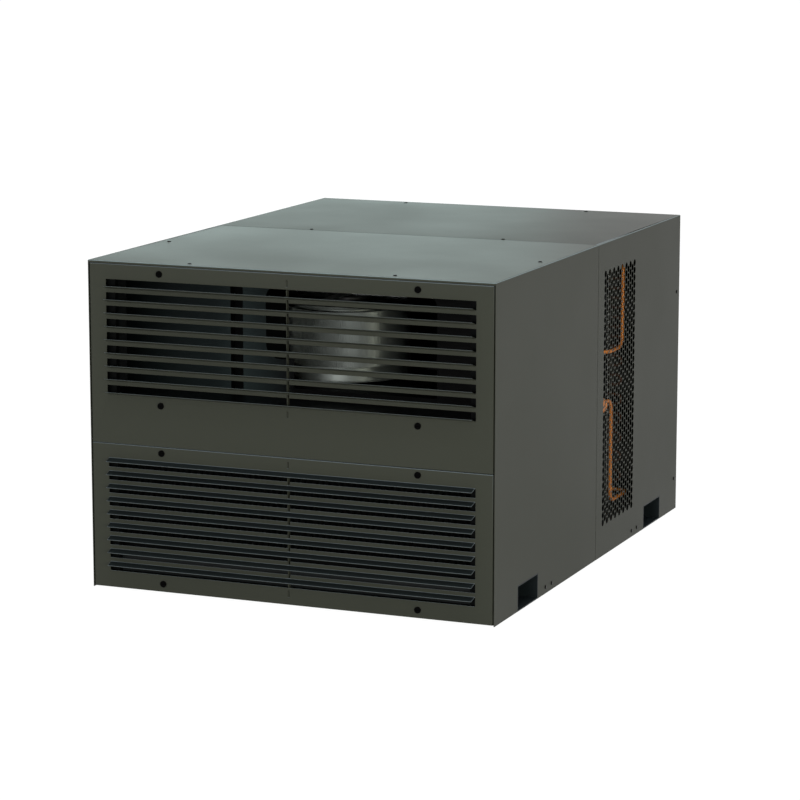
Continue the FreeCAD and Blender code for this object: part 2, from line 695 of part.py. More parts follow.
def louvre_panel(name, low, high, slot_top, blades_up, fasteners, hooks):
    """A folded panel whose blades are pressed out of it, one bend at each opening."""
    body = new_body(name)
    wide = inside - panel_gap
    face_back = front + sheet_t
    face = sketch_on(body, name + "_face", "XZ", face_back)
    rectangle(face, (-wide, wide), (low, high))
    for x, z in fasteners:
        circle(face, x, z, shank_r + shank_gap)
    rib_side = -rib_t / 2 - gap
    for z in hooks:
        rectangle(face, (rib_side, rib_side + hook_w), (z - hook_h / 2, z + hook_h / 2))
    pad(body, name + "_sheet", face, "XZ", sheet_t, toward=-1)
    edge = sketch_on(body, name + "_edge", "XZ", face_back)
    rectangle(edge, (-wide, wide), (low, high))
    rectangle(edge, (-wide + sheet_t, wide - sheet_t), (low + sheet_t, high - sheet_t))
    pad(body, name + "_return_edges", edge, "XZ", panel_fold)
    opening = sketch_on(body, name + "_opening", "XZ", front)
    rectangle(opening, (-slot_l / 2, slot_l / 2), (slot_top - slot_h, slot_top))
    slot = pocket_through(body, name + "_slot", opening)
    bend_z = slot_top - slot_h - sheet_t - blade_sink if blades_up else slot_top + blade_sink
    root = sketch_on(body, name + "_blade_root", "XZ", face_back)
    reach = slot_l / 2 - blade_relief
    rectangle(root, (-reach, reach), (bend_z, bend_z + sheet_t))
    tip = sketch_on(body, name + "_blade_tip", "XZ", front - blade_out)
    rise = blade_rise if blades_up else -blade_rise
    reach = slot_l / 2 - blade_taper
    rectangle(tip, (-reach, reach), (bend_z + rise, bend_z + rise + sheet_t))
    blade = body.newObject("PartDesign::AdditiveLoft", name + "_blade")
    blade.Profile = root
    blade.Sections = [tip]
    blade.Ruled = True
    column(body, name + "_louvres", [slot, blade], opening, "V_Axis", pitch * (slots - 1), slots, down=True)
    notch = sketch_on(body, name + "_notch", "XZ", front)
    inner = slot_top - pitch if blades_up else slot_top - slot_h
    outer = inner + notch_h if blades_up else inner - notch_h
    lap = -blade_relief if blades_up else blade_relief
    rectangle(notch, (rib_side, rib_side + notch_w), (inner + lap, outer))
    notch_cut = pocket_through(body, name + "_notch_cut", notch)
    column(body, name + "_notches", [notch_cut], notch, "V_Axis", pitch * (slots - 2), slots - 1, down=True)
    keep(body, name)


def louvre_rib(name, slot_top, blades_up, hooks):
    """The comb behind a louvre field: teeth in the openings and notches, a hook at each end."""
    body = new_body(name)
    face_back = front + sheet_t
    edge = hook_h / 2 - gap
    strip = sketch_on(body, name + "_strip", "YZ", -rib_t / 2)
    rectangle(strip, (face_back, face_back + rib_d), (hooks[1] - edge, hooks[0] + edge))
    pad(body, name + "_web", strip, "YZ", rib_t)
    reach = (front - rib_proud, face_back)
    clear = blade_relief
    plain_top = slot_top if blades_up else slot_top - pitch * (slots - 1)
    ends = sketch_on(body, name + "_ends", "YZ", -rib_t / 2)
    rectangle(ends, reach, (plain_top - slot_h + clear, plain_top - clear))
    for z in hooks:
        rectangle(ends, (front, face_back), (z - edge, z + edge))
    pad(body, name + "_end_teeth", ends, "YZ", rib_t)
    first_top = slot_top - pitch if blades_up else slot_top
    high = first_top + notch_h - gap if blades_up else first_top - clear
    low = first_top - slot_h + clear if blades_up else first_top - slot_h - notch_h + gap
    tooth = sketch_on(body, name + "_tooth", "YZ", -rib_t / 2)
    rectangle(tooth, reach, (low, high))
    tooth_pad = pad(body, name + "_tooth_pad", tooth, "YZ", rib_t)
    column(body, name + "_teeth", [tooth_pad], tooth, "V_Axis", pitch * (slots - 2), slots - 1, down=True)
    return body


def front_panels():
    top = height - lip_front - split_gap
    joint = split + split_gap
    upper_hooks = (hook_upper_top, hook_upper_low)
    lower_hooks = (hook_lower_top, hook_lower_low)
    louvre_panel("front_upper_panel", joint, top, upper_top, True, FASTENERS[:4], upper_hooks)
    louvre_panel("front_lower_panel", panel_gap, split, lower_top, False, FASTENERS[4:], lower_hooks)
    ribs = [
        louvre_rib("upper_rib", upper_top, True, upper_hooks),
        louvre_rib("lower_rib", lower_top, False, lower_hooks),
    ]
    keep(group("louvre_ribs", ribs), "louvre_ribs")


def quarter_turn(index, x, z):
    """A slotted fastener; its own Z axis points out of the panel."""
    name = "quarter_turn_%d" % index
    body = new_body(name)
    body.Placement = Placement(Vector(), Rotation(Vector(1, 0, 0), 90))
    place(body, x, front, z)
    head = sketch_on(body, name + "_head", "XY", gap)
    circle(head, 0, 0, head_r)
    pad(body, name + "_cap", head, "XY", head_h)
    shank = sketch_on(body, name + "_shank", "XY", gap)
    flat = shank_r / math.sqrt(2)
    rectangle(shank, (-flat, flat), (-flat, flat))
    shank_l = sheet_t + panel_fold + gap + sheet_t + cup_t * 0.75 + gap
    pad(body, name + "_pin", shank, "XY", shank_l, toward=-1)
    slot = sketch_on(body, name + "_slot", "XY", gap + head_h)
    rectangle(slot, (-head_r * 0.7, head_r * 0.7), (-pin_t / 3, pin_t / 3))
    pocket_blind(body, name + "_slot_cut", slot, "XY", head_h / 2, toward=-1)
    cross = sketch_on(body, name + "_cross", "XY", gap - shank_l)
    rectangle(cross, (-pin_l / 2, pin_l / 2), (-pin_t / 2, pin_t / 2))
    pad(body, name + "_cross_pin", cross, "XY", pin_t)
    keep(body, name)


def receptacles():
    """Plates behind the front frame that the fasteners lock into."""
    cups = []
    for i, (x, z) in enumerate(FASTENERS):
        name = "receptacle_%d" % (i + 1)
        depths = (frame_back, frame_back + cup_t)
        plate = box(name + "_plate", (x - cup_l / 2, x + cup_l / 2), depths, (z - cup_h / 2, z + cup_h / 2))
        hole = box(name + "_hole", (x - cup_r, x + cup_r), depths, (z - cup_r, z + cup_r))
        cups.append(cut(name, plate, [hole]))
    keep(group("stud_receptacles", cups), "stud_receptacles")


# Side sheets, covers and rear panel


def side_sheet(name, side, ends, pocket, inlet):
    """A side sheet with its fork cut-out, its top flange and, at the rear, its air inlet."""
    body = new_body(name)
    outer = half * side
    inner = inside * side
    skin = sketch_on(body, name + "_skin", "YZ", outer)
    left, right = pocket - fork_w / 2, pocket + fork_w / 2
    polygon(skin, [
        (ends[0], 0), (left, 0), (left, fork_h), (right, fork_h), (right, 0),
        (ends[1], 0), (ends[1], shelf_z), (ends[0], shelf_z),
    ])
    pad(body, name + "_sheet", skin, "YZ", sheet_t, toward=-side)
    shelf = sketch_on(body, name + "_shelf", "XY", flange_z)
    xs = (inner - flange, inner) if side > 0 else (inner, inner + flange)
    shelf_ends = (front + sheet_t, ends[1]) if pocket is pocket_front else (ends[0], rear_face)
    rectangle(shelf, xs, shelf_ends)
    pad(body, name + "_top_flange", shelf, "XY", sheet_t)
    hem = sketch_on(body, name + "_hem", "XY", fork_h)
    xs = (inner - fork_hem, inner) if side > 0 else (inner, inner + fork_hem)
    rectangle(hem, xs, (left, right))
    pad(body, name + "_fork_hem", hem, "XY", sheet_t)
    if inlet:
        column_step = hole_pitch * (math.sqrt(3) / 2)
        corner = hole_flat / math.sqrt(3)
        cells = sketch_on(body, name + "_cells", "YZ", outer)
        for y, z in ((0, 0), (column_step, hole_pitch / 2)):
            corners = []
            for i in range(6):
                turn = math.radians(60 * i)
                point = (bulk_y + hole_behind + y + corner * math.cos(turn),
                         hole_low + z + corner * math.sin(turn))
                corners.append(point)
            polygon(cells, corners)
        holes = pocket_through(body, name + "_cell", cells)
        pattern = column(body, name + "_inlet", [holes], cells, "V_Axis",
                         hole_pitch * (hole_rows - 1), hole_rows)
        pattern.Direction2 = (cells, ["H_Axis"])
        bind(pattern, "Length2", column_step * 2 * (hole_pairs - 1))
        bind(pattern, "Occurrences2", hole_pairs)
    keep(body, name)


def side_sheets():
    for side, word in ((1, "right"), (-1, "left")):
        side_sheet("side_front_" + word, side, (front, seam_y), pocket_front, False)
        side_sheet("side_rear_" + word, side, (seam_y + seam_gap, back), pocket_rear, True)


def edges_at(shape, axis, level, height_level):
    """Names of the outer edges that run level at one height and one side."""
    names = []
    for i, edge in enumerate(shape.Edges):
        bounds = edge.BoundBox
        low = (bounds.XMin, bounds.YMin, bounds.ZMin)
        high = (bounds.XMax, bounds.YMax, bounds.ZMax)
        on_side = abs(low[axis] - level) < 0.01 and abs(high[axis] - level) < 0.01
        on_top = abs(low[2] - height_level) < 0.01 and abs(high[2] - height_level) < 0.01
        if on_side and on_top:
            names.append("Edge%d" % (i + 1))
    return names


def cover(name, ends, end_lip, lip_at_front):
    """A top cover: a sheet with a bent lip at both sides and at its free end."""
    body = new_body(name)
    plate = sketch_on(body, name + "_plate", "XY", cover_z)
    rectangle(plate, (-half, half), ends)
    pad(body, name + "_sheet", plate, "XY", sheet_t)
    sides = sketch_on(body, name + "_sides", "XY", cover_z)
    for xs in ((-half, -inside), (inside, half)):
        rectangle(sides, xs, ends)
    pad(body, name + "_side_lips", sides, "XY", lip_side - sheet_t, toward=-1)
    end = sketch_on(body, name + "_end", "XY", cover_z)
    free = (ends[0], ends[0] + sheet_t) if lip_at_front else (ends[1] - sheet_t, ends[1])
    rectangle(end, (-inside, inside), free)
    last = pad(body, name + "_end_lip", end, "XY", end_lip - sheet_t, toward=-1)
    doc.recompute()
    free_end = number_of(ends[0] if lip_at_front else ends[1])
    top = number_of(height)
    names = edges_at(last.Shape, 1, free_end, top)
    for level in (-number_of(half), number_of(half)):
        names += edges_at(last.Shape, 0, level, top)
    bends = body.newObject("PartDesign::Fillet", name + "_bends")
    bends.Base = (last, names)
    bind(bends, "Radius", edge_radius)
    keep(body, name)


def covers():
    cover("top_front_cover", (front, seam_y), lip_front, True)
    cover("top_rear_cover", (seam_y, back), lip_side, False)


def rear_panel():
    body = new_body("rear_panel")
    face = sketch_on(body, "rear_face", "XZ", rear_face)
    rectangle(face, (-inside, inside), (panel_gap, shelf_z))
    circle(face, 0, fan_z, fan_r + fan_gap)
    circle(face, -gland_x, gland_z, gland_hole)
    pad(body, "rear_sheet", face, "XZ", sheet_t)
    sides = sketch_on(body, "rear_sides", "XY", pan_z)
    reach = back_screw_in * 2
    for xs in ((-inside, -liner_x), (liner_x, inside)):
        rectangle(sides, xs, (rear_face - reach, rear_face))
    pad(body, "rear_side_flanges", sides, "XY", flange_z - pan_z)
    top = sketch_on(body, "rear_top", "XY", flange_z)
    rectangle(top, (-flange_in + gap, flange_in - gap), (rear_face - reach, rear_face))
    pad(body, "rear_top_flange", top, "XY", sheet_t)
    keep(body, "rear_panel")


def cable_gland():
    """A gland through the rear panel; its outer end stays inside the cabinet's depth."""
    spot = (-gland_x, rear_face - gland_in, gland_z)
    nut = prism("gland_nut", "Y", spot, gland_r, gland_in)
    neck = rod("gland_neck", "Y", spot, gland_hole - gap / 2, gland_in + sheet_t)
    bore = rod("gland_cable", "Y", spot, gland_bore, gland_in + sheet_t)
    keep(cut("cable_gland", fuse("gland_body", [nut, neck]), [bore]), "cable_gland")


def prism(name, axis, start, radius, length):
    """A hexagonal prism from its start point along an axis."""
    piece = doc.addObject("Part::Prism", name)
    piece.Placement = Placement(Vector(), TURNS[axis])
    piece.Polygon = 6
    bind(piece, "Circumradius", radius)
    bind(piece, "Height", length)
    place(piece, *start)
    return piece


def casing_screws():
    """Heads of the hexagon screws in the covers and the side sheets."""
    spots = []
    for y in (front + cover_screw_in, seam_y + seam_screw, back - cover_screw_in):
        spots += [(x, y, height) for x in (-cover_screw_x, cover_screw_x)]
    spots += [(x, front + side_screw_y, height) for x in (side_screw_in - half, half - side_screw_in)]
    screws = [prism("cover_screw_%d" % (i + 1), "Z", spot, screw_r, screw_h) for i, spot in enumerate(spots)]
    spots = []
    for step in (base_screw_near, base_screw_far):
        spots.append((pocket_front + fork_w / 2 + step, base_screw_z))
        spots.append((pocket_rear - fork_w / 2 - step, base_screw_z))
    spots += [(back - back_screw_in, z) for z in (back_screw_low, back_screw_top)]
    for start, word in ((half, "right"), (-half - screw_h, "left")):
        for i, (y, z) in enumerate(spots):
            screws.append(prism("%s_screw_%d" % (word, i + 1), "X", (start, y, z), screw_r, screw_h))
    keep(group("casing_screws", screws), "casing_screws")


# Bulkhead, liner and supply plenum


def section_bulkhead():
    """The wall between the sections; its top flange carries the cover seam."""
    body = new_body("section_bulkhead")
    face = sketch_on(body, "bulkhead_face", "XZ", bulk_y)
    rectangle(face, (-inside, inside), (pan_z, flange_z))
    circle(face, line_x, liquid_z, tube_r + tube_hole)
    circle(face, suction_x, suction_z, suction_r + tube_hole)
    pad(body, "bulkhead_sheet", face, "XZ", sheet_t)
    reach = (bulk_y - bulk_flange, bulk_y)
    sides = sketch_on(body, "bulkhead_sides", "XY", pan_z)
    for xs in ((-inside, -liner_x), (liner_x, inside)):
        rectangle(sides, xs, reach)
    pad(body, "bulkhead_side_flanges", sides, "XY", flange_z - pan_z)
    top = sketch_on(body, "bulkhead_top", "XY", flange_z)
    rectangle(top, (-flange_in + gap, flange_in - gap), (reach[0], bulk_y + sheet_t))
    pad(body, "bulkhead_top_flange", top, "XY", sheet_t)
    keep(body, "section_bulkhead")


def insulation_liner():
    """Foam round the cold section, open to the front."""
    shell = box("liner_block", (-liner_x, liner_x), (liner_y, bulk_y), (pan_z, flange_z))
    hollow = box("liner_hollow", (-plenum_x, plenum_x), (liner_y, bulk_y - foam), (floor_z, roof_z))
    tools = [
        hollow,
        rod("liner_liquid", "Y", (line_x, bulk_y - foam, liquid_z), tube_r + tube_hole, foam),
        rod("liner_suction", "Y", (suction_x, bulk_y - foam, suction_z), suction_r + tube_hole, foam),
        rod("liner_drain", "Z", (drain_x, drain_y, pan_z), drain_r + gap, foam),
    ]
    keep(cut("insulation_liner", shell, tools), "insulation_liner")


def plenum():
    """The supply plenum: a floor, and the plate that the blower mouth opens through."""
    ys = (frame_back, plate_back)
    body = new_body("plenum_floor")
    floor = sketch_on(body, "plenum_outline", "XY", deck_z)
    neck = liner_x - foam
    rectangle(floor, (-neck, neck), ys)
    pad(body, "plenum_sheet", floor, "XY", sheet_t)
    hem = sketch_on(body, "plenum_hem", "XY", deck_z + sheet_t)
    for xs in ((-neck, -neck + sheet_t), (neck - sheet_t, neck)):
        rectangle(hem, xs, (ys[0], plate_front))
    pad(body, "plenum_hems", hem, "XY", panel_fold)
    keep(body, "plenum_floor")

    low = deck_z + sheet_t
    sheet_face = box("plate_sheet", (-plenum_x, plenum_x), (plate_front, plate_back), (low, roof_z))
    mouth = mouth_cutter()
    xs = (-groove_x - groove_w / 2, -groove_x + groove_w / 2)
    groove = box("plate_groove", xs, (plate_front, plate_back), (low, roof_z))
    cheeks = [
        box("groove_left", (xs[0] - sheet_t, xs[0]), (plate_front, plate_front + groove_d), (low, roof_z)),
        box("groove_right", (xs[1], xs[1] + sheet_t), (plate_front, plate_front + groove_d), (low, roof_z)),
        box("groove_back", (xs[0] - sheet_t, xs[1] + sheet_t),
            (plate_front + groove_d, plate_front + groove_d + sheet_t), (low, roof_z)),
    ]
    step = box("mouth_step", (-mouth_step_x, mouth_right), (plate_front, plate_back), (house_low, mouth_low))
    plate = cut("plate_open", sheet_face, [mouth, step, groove])
    keep(fuse("discharge_plate", [plate] + cheeks), "discharge_plate")


def mouth_cutter():
    """The rounded opening of the blower mouth."""
    body = new_body("mouth_cutter")
    outline = sketch_on(body, "mouth_outline", "XZ", plate_front)
    rectangle(outline, (-mouth_left, mouth_right), (mouth_low, mouth_top))
    block = pad(body, "mouth_block", outline, "XZ", sheet_t)
    doc.recompute()
    uprights = []
    for i, edge in enumerate(block.Shape.Edges):
        if edge.BoundBox.YLength > number_of(sheet_t) / 2:
            uprights.append("Edge%d" % (i + 1))
    corners = body.newObject("PartDesign::Fillet", "mouth_corners")
    corners.Base = (block, uprights)
    bind(corners, "Radius", mouth_radius)
    return body


def return_filter():
    """A pleated medium in a folded cassette, held between two tracks."""
    y0 = liner_y + sheet_t
    y1 = y0 + filter_d
    z0 = floor_z + sheet_t + gap
    z1 = deck_z - sheet_t - gap
    w = filter_w / 2
    rim = cut(
        "filter_rim",
        box("filter_outside", (-w, w), (y0, y1), (z0, z1)),
        [box("filter_inside", (-w + sheet_t, w - sheet_t), (y0, y1), (z0 + sheet_t, z1 - sheet_t))],
    )
    medium = new_body("filter_medium")
    zigzag = sketch_on(medium, "filter_zigzag", "XY", z0 + sheet_t)
    count = int(number_of(pleats))
    step = (filter_w - sheet_t * 2) / count
    near, far = [], []
    for i in range(count + 1):
        x = -w + sheet_t + step * i
        y = y0 + filter_d * (0.15 if i % 2 else 0.75)
        near.append((x, y))
        far.append((x, y + filter_d * 0.1))
    polygon(zigzag, near + far[::-1])
    pad(medium, "filter_pleats", zigzag, "XY", z1 - z0 - sheet_t * 2)
    keep(fuse("return_filter", [rim, medium]), "return_filter")

    tracks = []
    for name, low, high in (("lower_track", floor_z, floor_z + track_h),
                            ("upper_track", deck_z - track_h, deck_z)):
        slot_z = (floor_z + sheet_t, high) if name == "lower_track" else (low, deck_z - sheet_t)
        block = box(name + "_block", (-w, w), (y0 - sheet_t, y1 + gap + sheet_t), (low, high))
        slot = box(name + "_slot", (-w, w), (y0 - gap / 2, y1 + gap), slot_z)
        tracks.append(cut(name, block, [slot]))
    keep(group("filter_tracks", tracks), "filter_tracks")


# Supply blower


def scroll_wire(offset):
    """The scroll outline: a spiral of arcs from the tongue, then straight to the mouth."""
    cx, cy = 0.0, number_of(axis_y)
    mouth_y = number_of(plate_back)
    start_r = number_of(scroll_start) + offset
    end_r = number_of(mouth_right) + offset
    tongue = math.radians(235)
    steps = 4
    spots = []
    for i in range(steps * 2 + 1):
        share = i / (steps * 2)
        turn = tongue * (1 - share)
        reach = start_r + (end_r - start_r) * share
        spots.append(Vector(cx + reach * math.cos(turn), cy + reach * math.sin(turn), 0))
    edges = []
    for i in range(steps):
        edges.append(Part.Arc(*spots[2 * i:2 * i + 3]).toShape())
    edges.append(Part.LineSegment(spots[-1], Vector(end_r, mouth_y, 0)).toShape())
    return edges, spots[0], Vector(end_r, mouth_y, 0)


def scroll_face():
    """The area inside the scroll, from the tongue to the mouth."""
    edges, tongue, corner = scroll_wire(0)
    left = Vector(-number_of(mouth_left), corner.y, 0)
    edges.append(Part.LineSegment(corner, left).toShape())
    edges.append(Part.LineSegment(left, tongue).toShape())
    return Part.Face(Part.Wire(edges))


def blower_housing():
    low = number_of(house_low)
    top = number_of(house_top)
    wall = number_of(cheek_t)
    area = scroll_face()
    outer = area.makeOffset2D(wall, join=2)
    band = outer.cut(area).extrude(Vector(0, 0, top - low))
    mouth_y = number_of(plate_back)
    ahead = Part.makeBox(4 * number_of(mouth_right), 2 * wall, 2 * (top - low))
    ahead.translate(Vector(-2 * number_of(mouth_right), mouth_y - 2 * wall, -(top - low)))
    band = band.cut(ahead)
    band.translate(Vector(0, 0, low))
    keep(shaped("blower_scroll", band), "blower_scroll")
    outer = outer.extrude(Vector(0, 0, wall)).cut(ahead)
    hole = Part.makeCylinder(number_of(inlet_r), 4 * wall, Vector(0, number_of(axis_y), -wall))
    cheek = outer.cut(hole)
    lower = cheek.copy()
    lower.translate(Vector(0, 0, low - wall))
    upper = cheek.copy()
    upper.translate(Vector(0, 0, top))
    keep(group("blower_cheeks", [shaped("lower_cheek", lower), shaped("upper_cheek", upper)]),
         "blower_cheeks")


def blower_wheel():
    """Forward-curved blades between two rings, on a middle disc with its shaft."""
    outer = number_of(wheel_r)
    inner = number_of(wheel_in)
    high = number_of(wheel_h)
    gauge = number_of(blade_t)
    middle = number_of(house_middle)
    low = middle - high / 2
    disc = Part.makeCylinder(inner + gauge, gauge * 2, Vector(0, 0, middle - gauge))
    pieces = []
    for z in (low, low + high - gauge):
        ring = Part.makeCylinder(outer, gauge, Vector(0, 0, z))
        pieces.append(ring.cut(Part.makeCylinder(inner, gauge, Vector(0, 0, z))))
    lean = math.radians(35)
    reach = (outer - inner - gauge) / math.cos(lean)
    blade = Part.makeBox(reach, gauge, high, Vector(0, -gauge / 2, low))
    blade.rotate(Vector(0, 0, 0), Vector(0, 0, 1), math.degrees(lean))
    blade.translate(Vector(inner, 0, 0))
    count = int(number_of(wheel_blades))
    for i in range(count):
        copy = blade.copy()
        copy.rotate(Vector(0, 0, 0), Vector(0, 0, 1), 360 * i / count)
        pieces.append(copy)
    shaft_top = number_of(house_top) - number_of(motor_h) / 2
    shaft = Part.makeCylinder(number_of(shaft_r), shaft_top - middle, Vector(0, 0, middle))
    wheel = disc.fuse(pieces + [shaft]).removeSplitter()
    piece = shaped("blower_wheel", wheel)
    place(piece, 0, axis_y, 0)
    keep(piece, "blower_wheel")


def blower_motor():
    """The motor hangs from the upper cheek on four arms and reaches into the wheel."""
    top = house_top + cheek_t
    case = rod("motor_case", "Z", (0, axis_y, top - motor_h), motor_r, motor_h)
    bore = rod("motor_bore", "Z", (0, axis_y, top - motor_h), shaft_r + gap, motor_h * 0.6)
    keep(cut("blower_motor", case, [bore]), "blower_motor")
    reach = inlet_r + arm_w
    arms = [
        box("arm_across", (-reach, reach), (axis_y - arm_w / 2, axis_y + arm_w / 2), (top, top + arm_t)),
        box("arm_along", (-arm_w / 2, arm_w / 2), (axis_y - reach, axis_y + reach), (top, top + arm_t)),
    ]
    keep(fuse("blower_motor_bracket", arms), "blower_motor_bracket")


# Evaporator, valve and drain


def coil(name, xs, ys, zs, foot_level):
    """A fin pack drawn with fewer, thicker fins joined along the rear, between two end plates."""
    body = new_body(name + "_fins")
    block = sketch_on(body, name + "_section", "XY", zs[0])
    rectangle(block, xs, ys)
    pad(body, name + "_block", block, "XY", zs[1] - zs[0])
    space = sketch_on(body, name + "_space", "XY", zs[0])
    rectangle(space, (xs[0] + fin_t, xs[0] + fin_pitch), (ys[0], ys[1] - fin_web))
    slot = pocket_through(body, name + "_slot", space)
    count = int(number_of(xs[1] - xs[0] - fin_t) / number_of(fin_pitch))
    column(body, name + "_fin_row", [slot], space, "H_Axis", fin_pitch * (count - 1), count)
    keep(body, name + "_fins")
    ends = []
    for word, low, high in (("left", xs[0] - end_t, xs[0]), ("right", xs[1], xs[1] + end_t)):
        sides = (ys[0] - end_lip, ys[1] + end_lip)
        ends.append(box("%s_end_%s" % (name, word), (low, high), sides, (foot_level, zs[1])))
    keep(group(name + "_end_plates", ends), name + "_end_plates")


def evaporator():
    xs = (-evap_w / 2, evap_w / 2)
    ys = (evap_front, evap_front + evap_d)
    zs = (evap_z, evap_z + evap_h)
    coil("evaporator", xs, ys, zs, evap_z)
    end = xs[1] + end_t
    middle = coil_y
    header_z = zs[0] + end_lip * 2
    header = rod("header", "Z", (suction_x, middle, header_z), header_r, zs[1] - header_z)
    stubs = []
    count = int(number_of(bends))
    for i in range(count):
        z = header_z + end_lip + (evap_h - end_lip * 4) * (i / (count - 1))
        stubs.append(rod("stub_%d" % (i + 1), "X", (end, middle, z), tube_r, suction_x - end))
    keep(fuse("evaporator_header", [header] + stubs), "evaporator_header")
    tray_x = evap_w / 2 + end_t + header_r * 3
    tray_y = (evap_front - end_lip * 2, evap_front + evap_d + end_lip * 2)
    tray = cut(
        "tray_open",
        box("tray_block", (-tray_x, tray_x), tray_y, (floor_z, floor_z + drain_h)),
        [
            box("tray_hollow", (-tray_x + drain_t, tray_x - drain_t),
                (tray_y[0] + drain_t, tray_y[1] - drain_t), (floor_z + drain_t, floor_z + drain_h)),
            rod("tray_hole", "Z", (drain_x, drain_y, floor_z), drain_bore, drain_t),
        ],
    )
    feet = []
    for i, x in enumerate((-evap_w / 2, evap_w / 2 - rail_w)):
        feet.append(box("tray_foot_%d" % (i + 1), (x, x + rail_w), (evap_front, evap_front + evap_d),
                        (floor_z + drain_t, evap_z)))
    keep(fuse("drain_pan", [tray] + feet), "drain_pan")
    outside = rod("drain_outside", "Z", (drain_x, drain_y, drain_end), drain_r, floor_z - drain_end)
    bore = rod("drain_bore", "Z", (drain_x, drain_y, drain_end), drain_bore, floor_z - drain_end)
    keep(cut("drain_pipe", outside, [bore]), "drain_pipe")


# Compressor and refrigerant lines


def domed_profile(sketch, x, radius, low, top, dome, both):
    """Half of a round vessel whose domes are drawn as three cones."""
    step = [(1 - math.cos(math.radians(angle)), math.sin(math.radians(angle))) for angle in (30, 60)]
    points = [(x, low), (x + radius - dome, low) if both else (x + radius, low)]
    if both:
        for back_in, rise in step[::-1]:
            points.append((x + radius - dome * back_in, low + dome - dome * rise))
        points.append((x + radius, low + dome))
    points.append((x + radius, top - dome))
    for back_in, rise in step:
        points.append((x + radius - dome * back_in, top - dome + dome * rise))
    points += [(x + radius - dome, top), (x, top)]
    polygon(sketch, points)


def turned(body, name, sketch):
    """A full turn of a profile about its left side."""
    doc.recompute()
    feature = body.newObject("PartDesign::Revolution", name)
    feature.Profile = sketch
    feature.ReferenceAxis = (sketch, ["Edge%d" % len(sketch.Geometry)])
    feature.Angle = 360
    return feature


def compressor():
    """A welded hermetic shell on a foot plate, with its terminal box."""
    x = -comp_x
    y = comp_y
    low = pan_z + foot_h
    body = new_body("compressor")
    foot = sketch_on(body, "comp_foot", "XY", low)
    w = comp_foot / 2
    rectangle(foot, (x - w, x + w), (y - w, y + w))
    pad(body, "comp_foot_plate", foot, "XY", comp_foot_t)
    shell = sketch_on(body, "comp_profile", "XZ", y)
    top = low + comp_h
    domed_profile(shell, x, comp_r, low, top, comp_dome, False)
    turned(body, "comp_shell", shell)
    weld = sketch_on(body, "comp_weld", "XY", low + comp_h * 0.55)
    circle(weld, x, y, comp_r + rail_t)
    pad(body, "comp_weld_ring", weld, "XY", comp_foot_t)
    terminal = sketch_on(body, "comp_terminal", "XY", low + comp_h * 0.6)
    rectangle(terminal, (x - rail_w, x + rail_w), (y - comp_r - rail_w / 2, y))
    pad(body, "comp_terminal_box", terminal, "XY", rail_w * 1.5)
    keep(body, "compressor")
    feet = []
    for i, (sx, sy) in enumerate(((-1, -1), (1, -1), (-1, 1), (1, 1))):
        spot = (x + foot_x * sx, y + foot_x * sy, pan_z)
        feet.append(rod("rubber_foot_%d" % (i + 1), "Z", spot, foot_r, foot_h))
    keep(group("compressor_feet", feet), "compressor_feet")


def accumulator():
    """The suction accumulator, standing on a bracket beside the compressor."""
    x = acc_x - comp_x
    y = comp_y
    body = new_body("suction_accumulator")
    shell = sketch_on(body, "acc_profile", "XZ", y)
    domed_profile(shell, x, acc_r, acc_z, acc_z + acc_h, acc_r * 0.6, True)
    turned(body, "acc_shell", shell)
    stem = sketch_on(body, "acc_stem", "XY", pan_z)
    rectangle(stem, (x - acc_r / 2, x + acc_r / 2), (y - acc_r / 2, y + acc_r / 2))
    pad(body, "acc_stand", stem, "XY", acc_z - pan_z + rail_t)
    keep(body, "suction_accumulator")


def refrigerant_lines():
    y = comp_y
    end = cond_w / 2 + end_t
    riser = bulk_y + riser_behind
    discharge = [
        (-comp_x, y, comp_top), (-comp_x, y, riser_z), (line_x, y, riser_z), (line_x, riser, riser_z),
        (line_x, riser, cond_in), (line_x, line_back, cond_in), (end, line_back, cond_in),
    ]
    keep(tube("discharge_line", discharge, tube_r, bend), "discharge_line")

    down = bulk_y + down_behind
    drier_front = bulk_y + drier_behind
    drier_back = drier_front + drier_l
    before = [
        (end, line_back, cond_out), (line_x, line_back, cond_out), (line_x, down, cond_out),
        (line_x, down, liquid_z), (line_x, drier_back, liquid_z),
    ]
    valve_x = evap_w / 2 + end_t
    valve_y = evap_front + valve_w
    after = [
        (line_x, drier_front, liquid_z), (line_x, valve_y, liquid_z), (valve_x + valve_w, valve_y, liquid_z),
    ]
    runs = [tube("liquid_before", before, tube_r, bend), tube("liquid_after", after, tube_r, bend)]
    keep(group("liquid_line", runs), "liquid_line")
    keep(rod("filter_drier", "Y", (line_x, drier_front, liquid_z), drier_r, drier_l), "filter_drier")
    body = box("valve_body", (valve_x, valve_x + valve_w), (valve_y - valve_w / 2, valve_y + valve_w / 2),
               (liquid_z - valve_w, liquid_z + valve_w))
    power = rod("valve_head", "Z", (valve_x + valve_w / 2, valve_y, liquid_z + valve_w),
                valve_w * 0.45, valve_w / 3)
    keep(fuse("expansion_valve", [body, power]), "expansion_valve")

    cross = bulk_y + suction_behind
    acc_line = acc_x - comp_x
    suction = [
        (suction_x, coil_y, evap_top), (suction_x, coil_y, suction_z), (suction_x, cross, suction_z),
        (acc_line, cross, suction_z), (acc_line, y, suction_z), (acc_line, y, acc_z + acc_h),
    ]
    low = acc_z + acc_h / 3
    stub = cut(
        "suction_stub",
        rod("stub_tube", "X", (-comp_x, y, low), suction_r, acc_x),
        [rod("stub_in_shell", "Z", (-comp_x, y, low - rail_w), comp_r, rail_w * 2),
         rod("stub_in_accumulator", "Z", (acc_line, y, low - rail_w), acc_r, rail_w * 2)],
    )
    keep(group("suction_line", [tube("suction_run", suction, suction_r, bend), stub]), "suction_line")


# Condenser and its fan


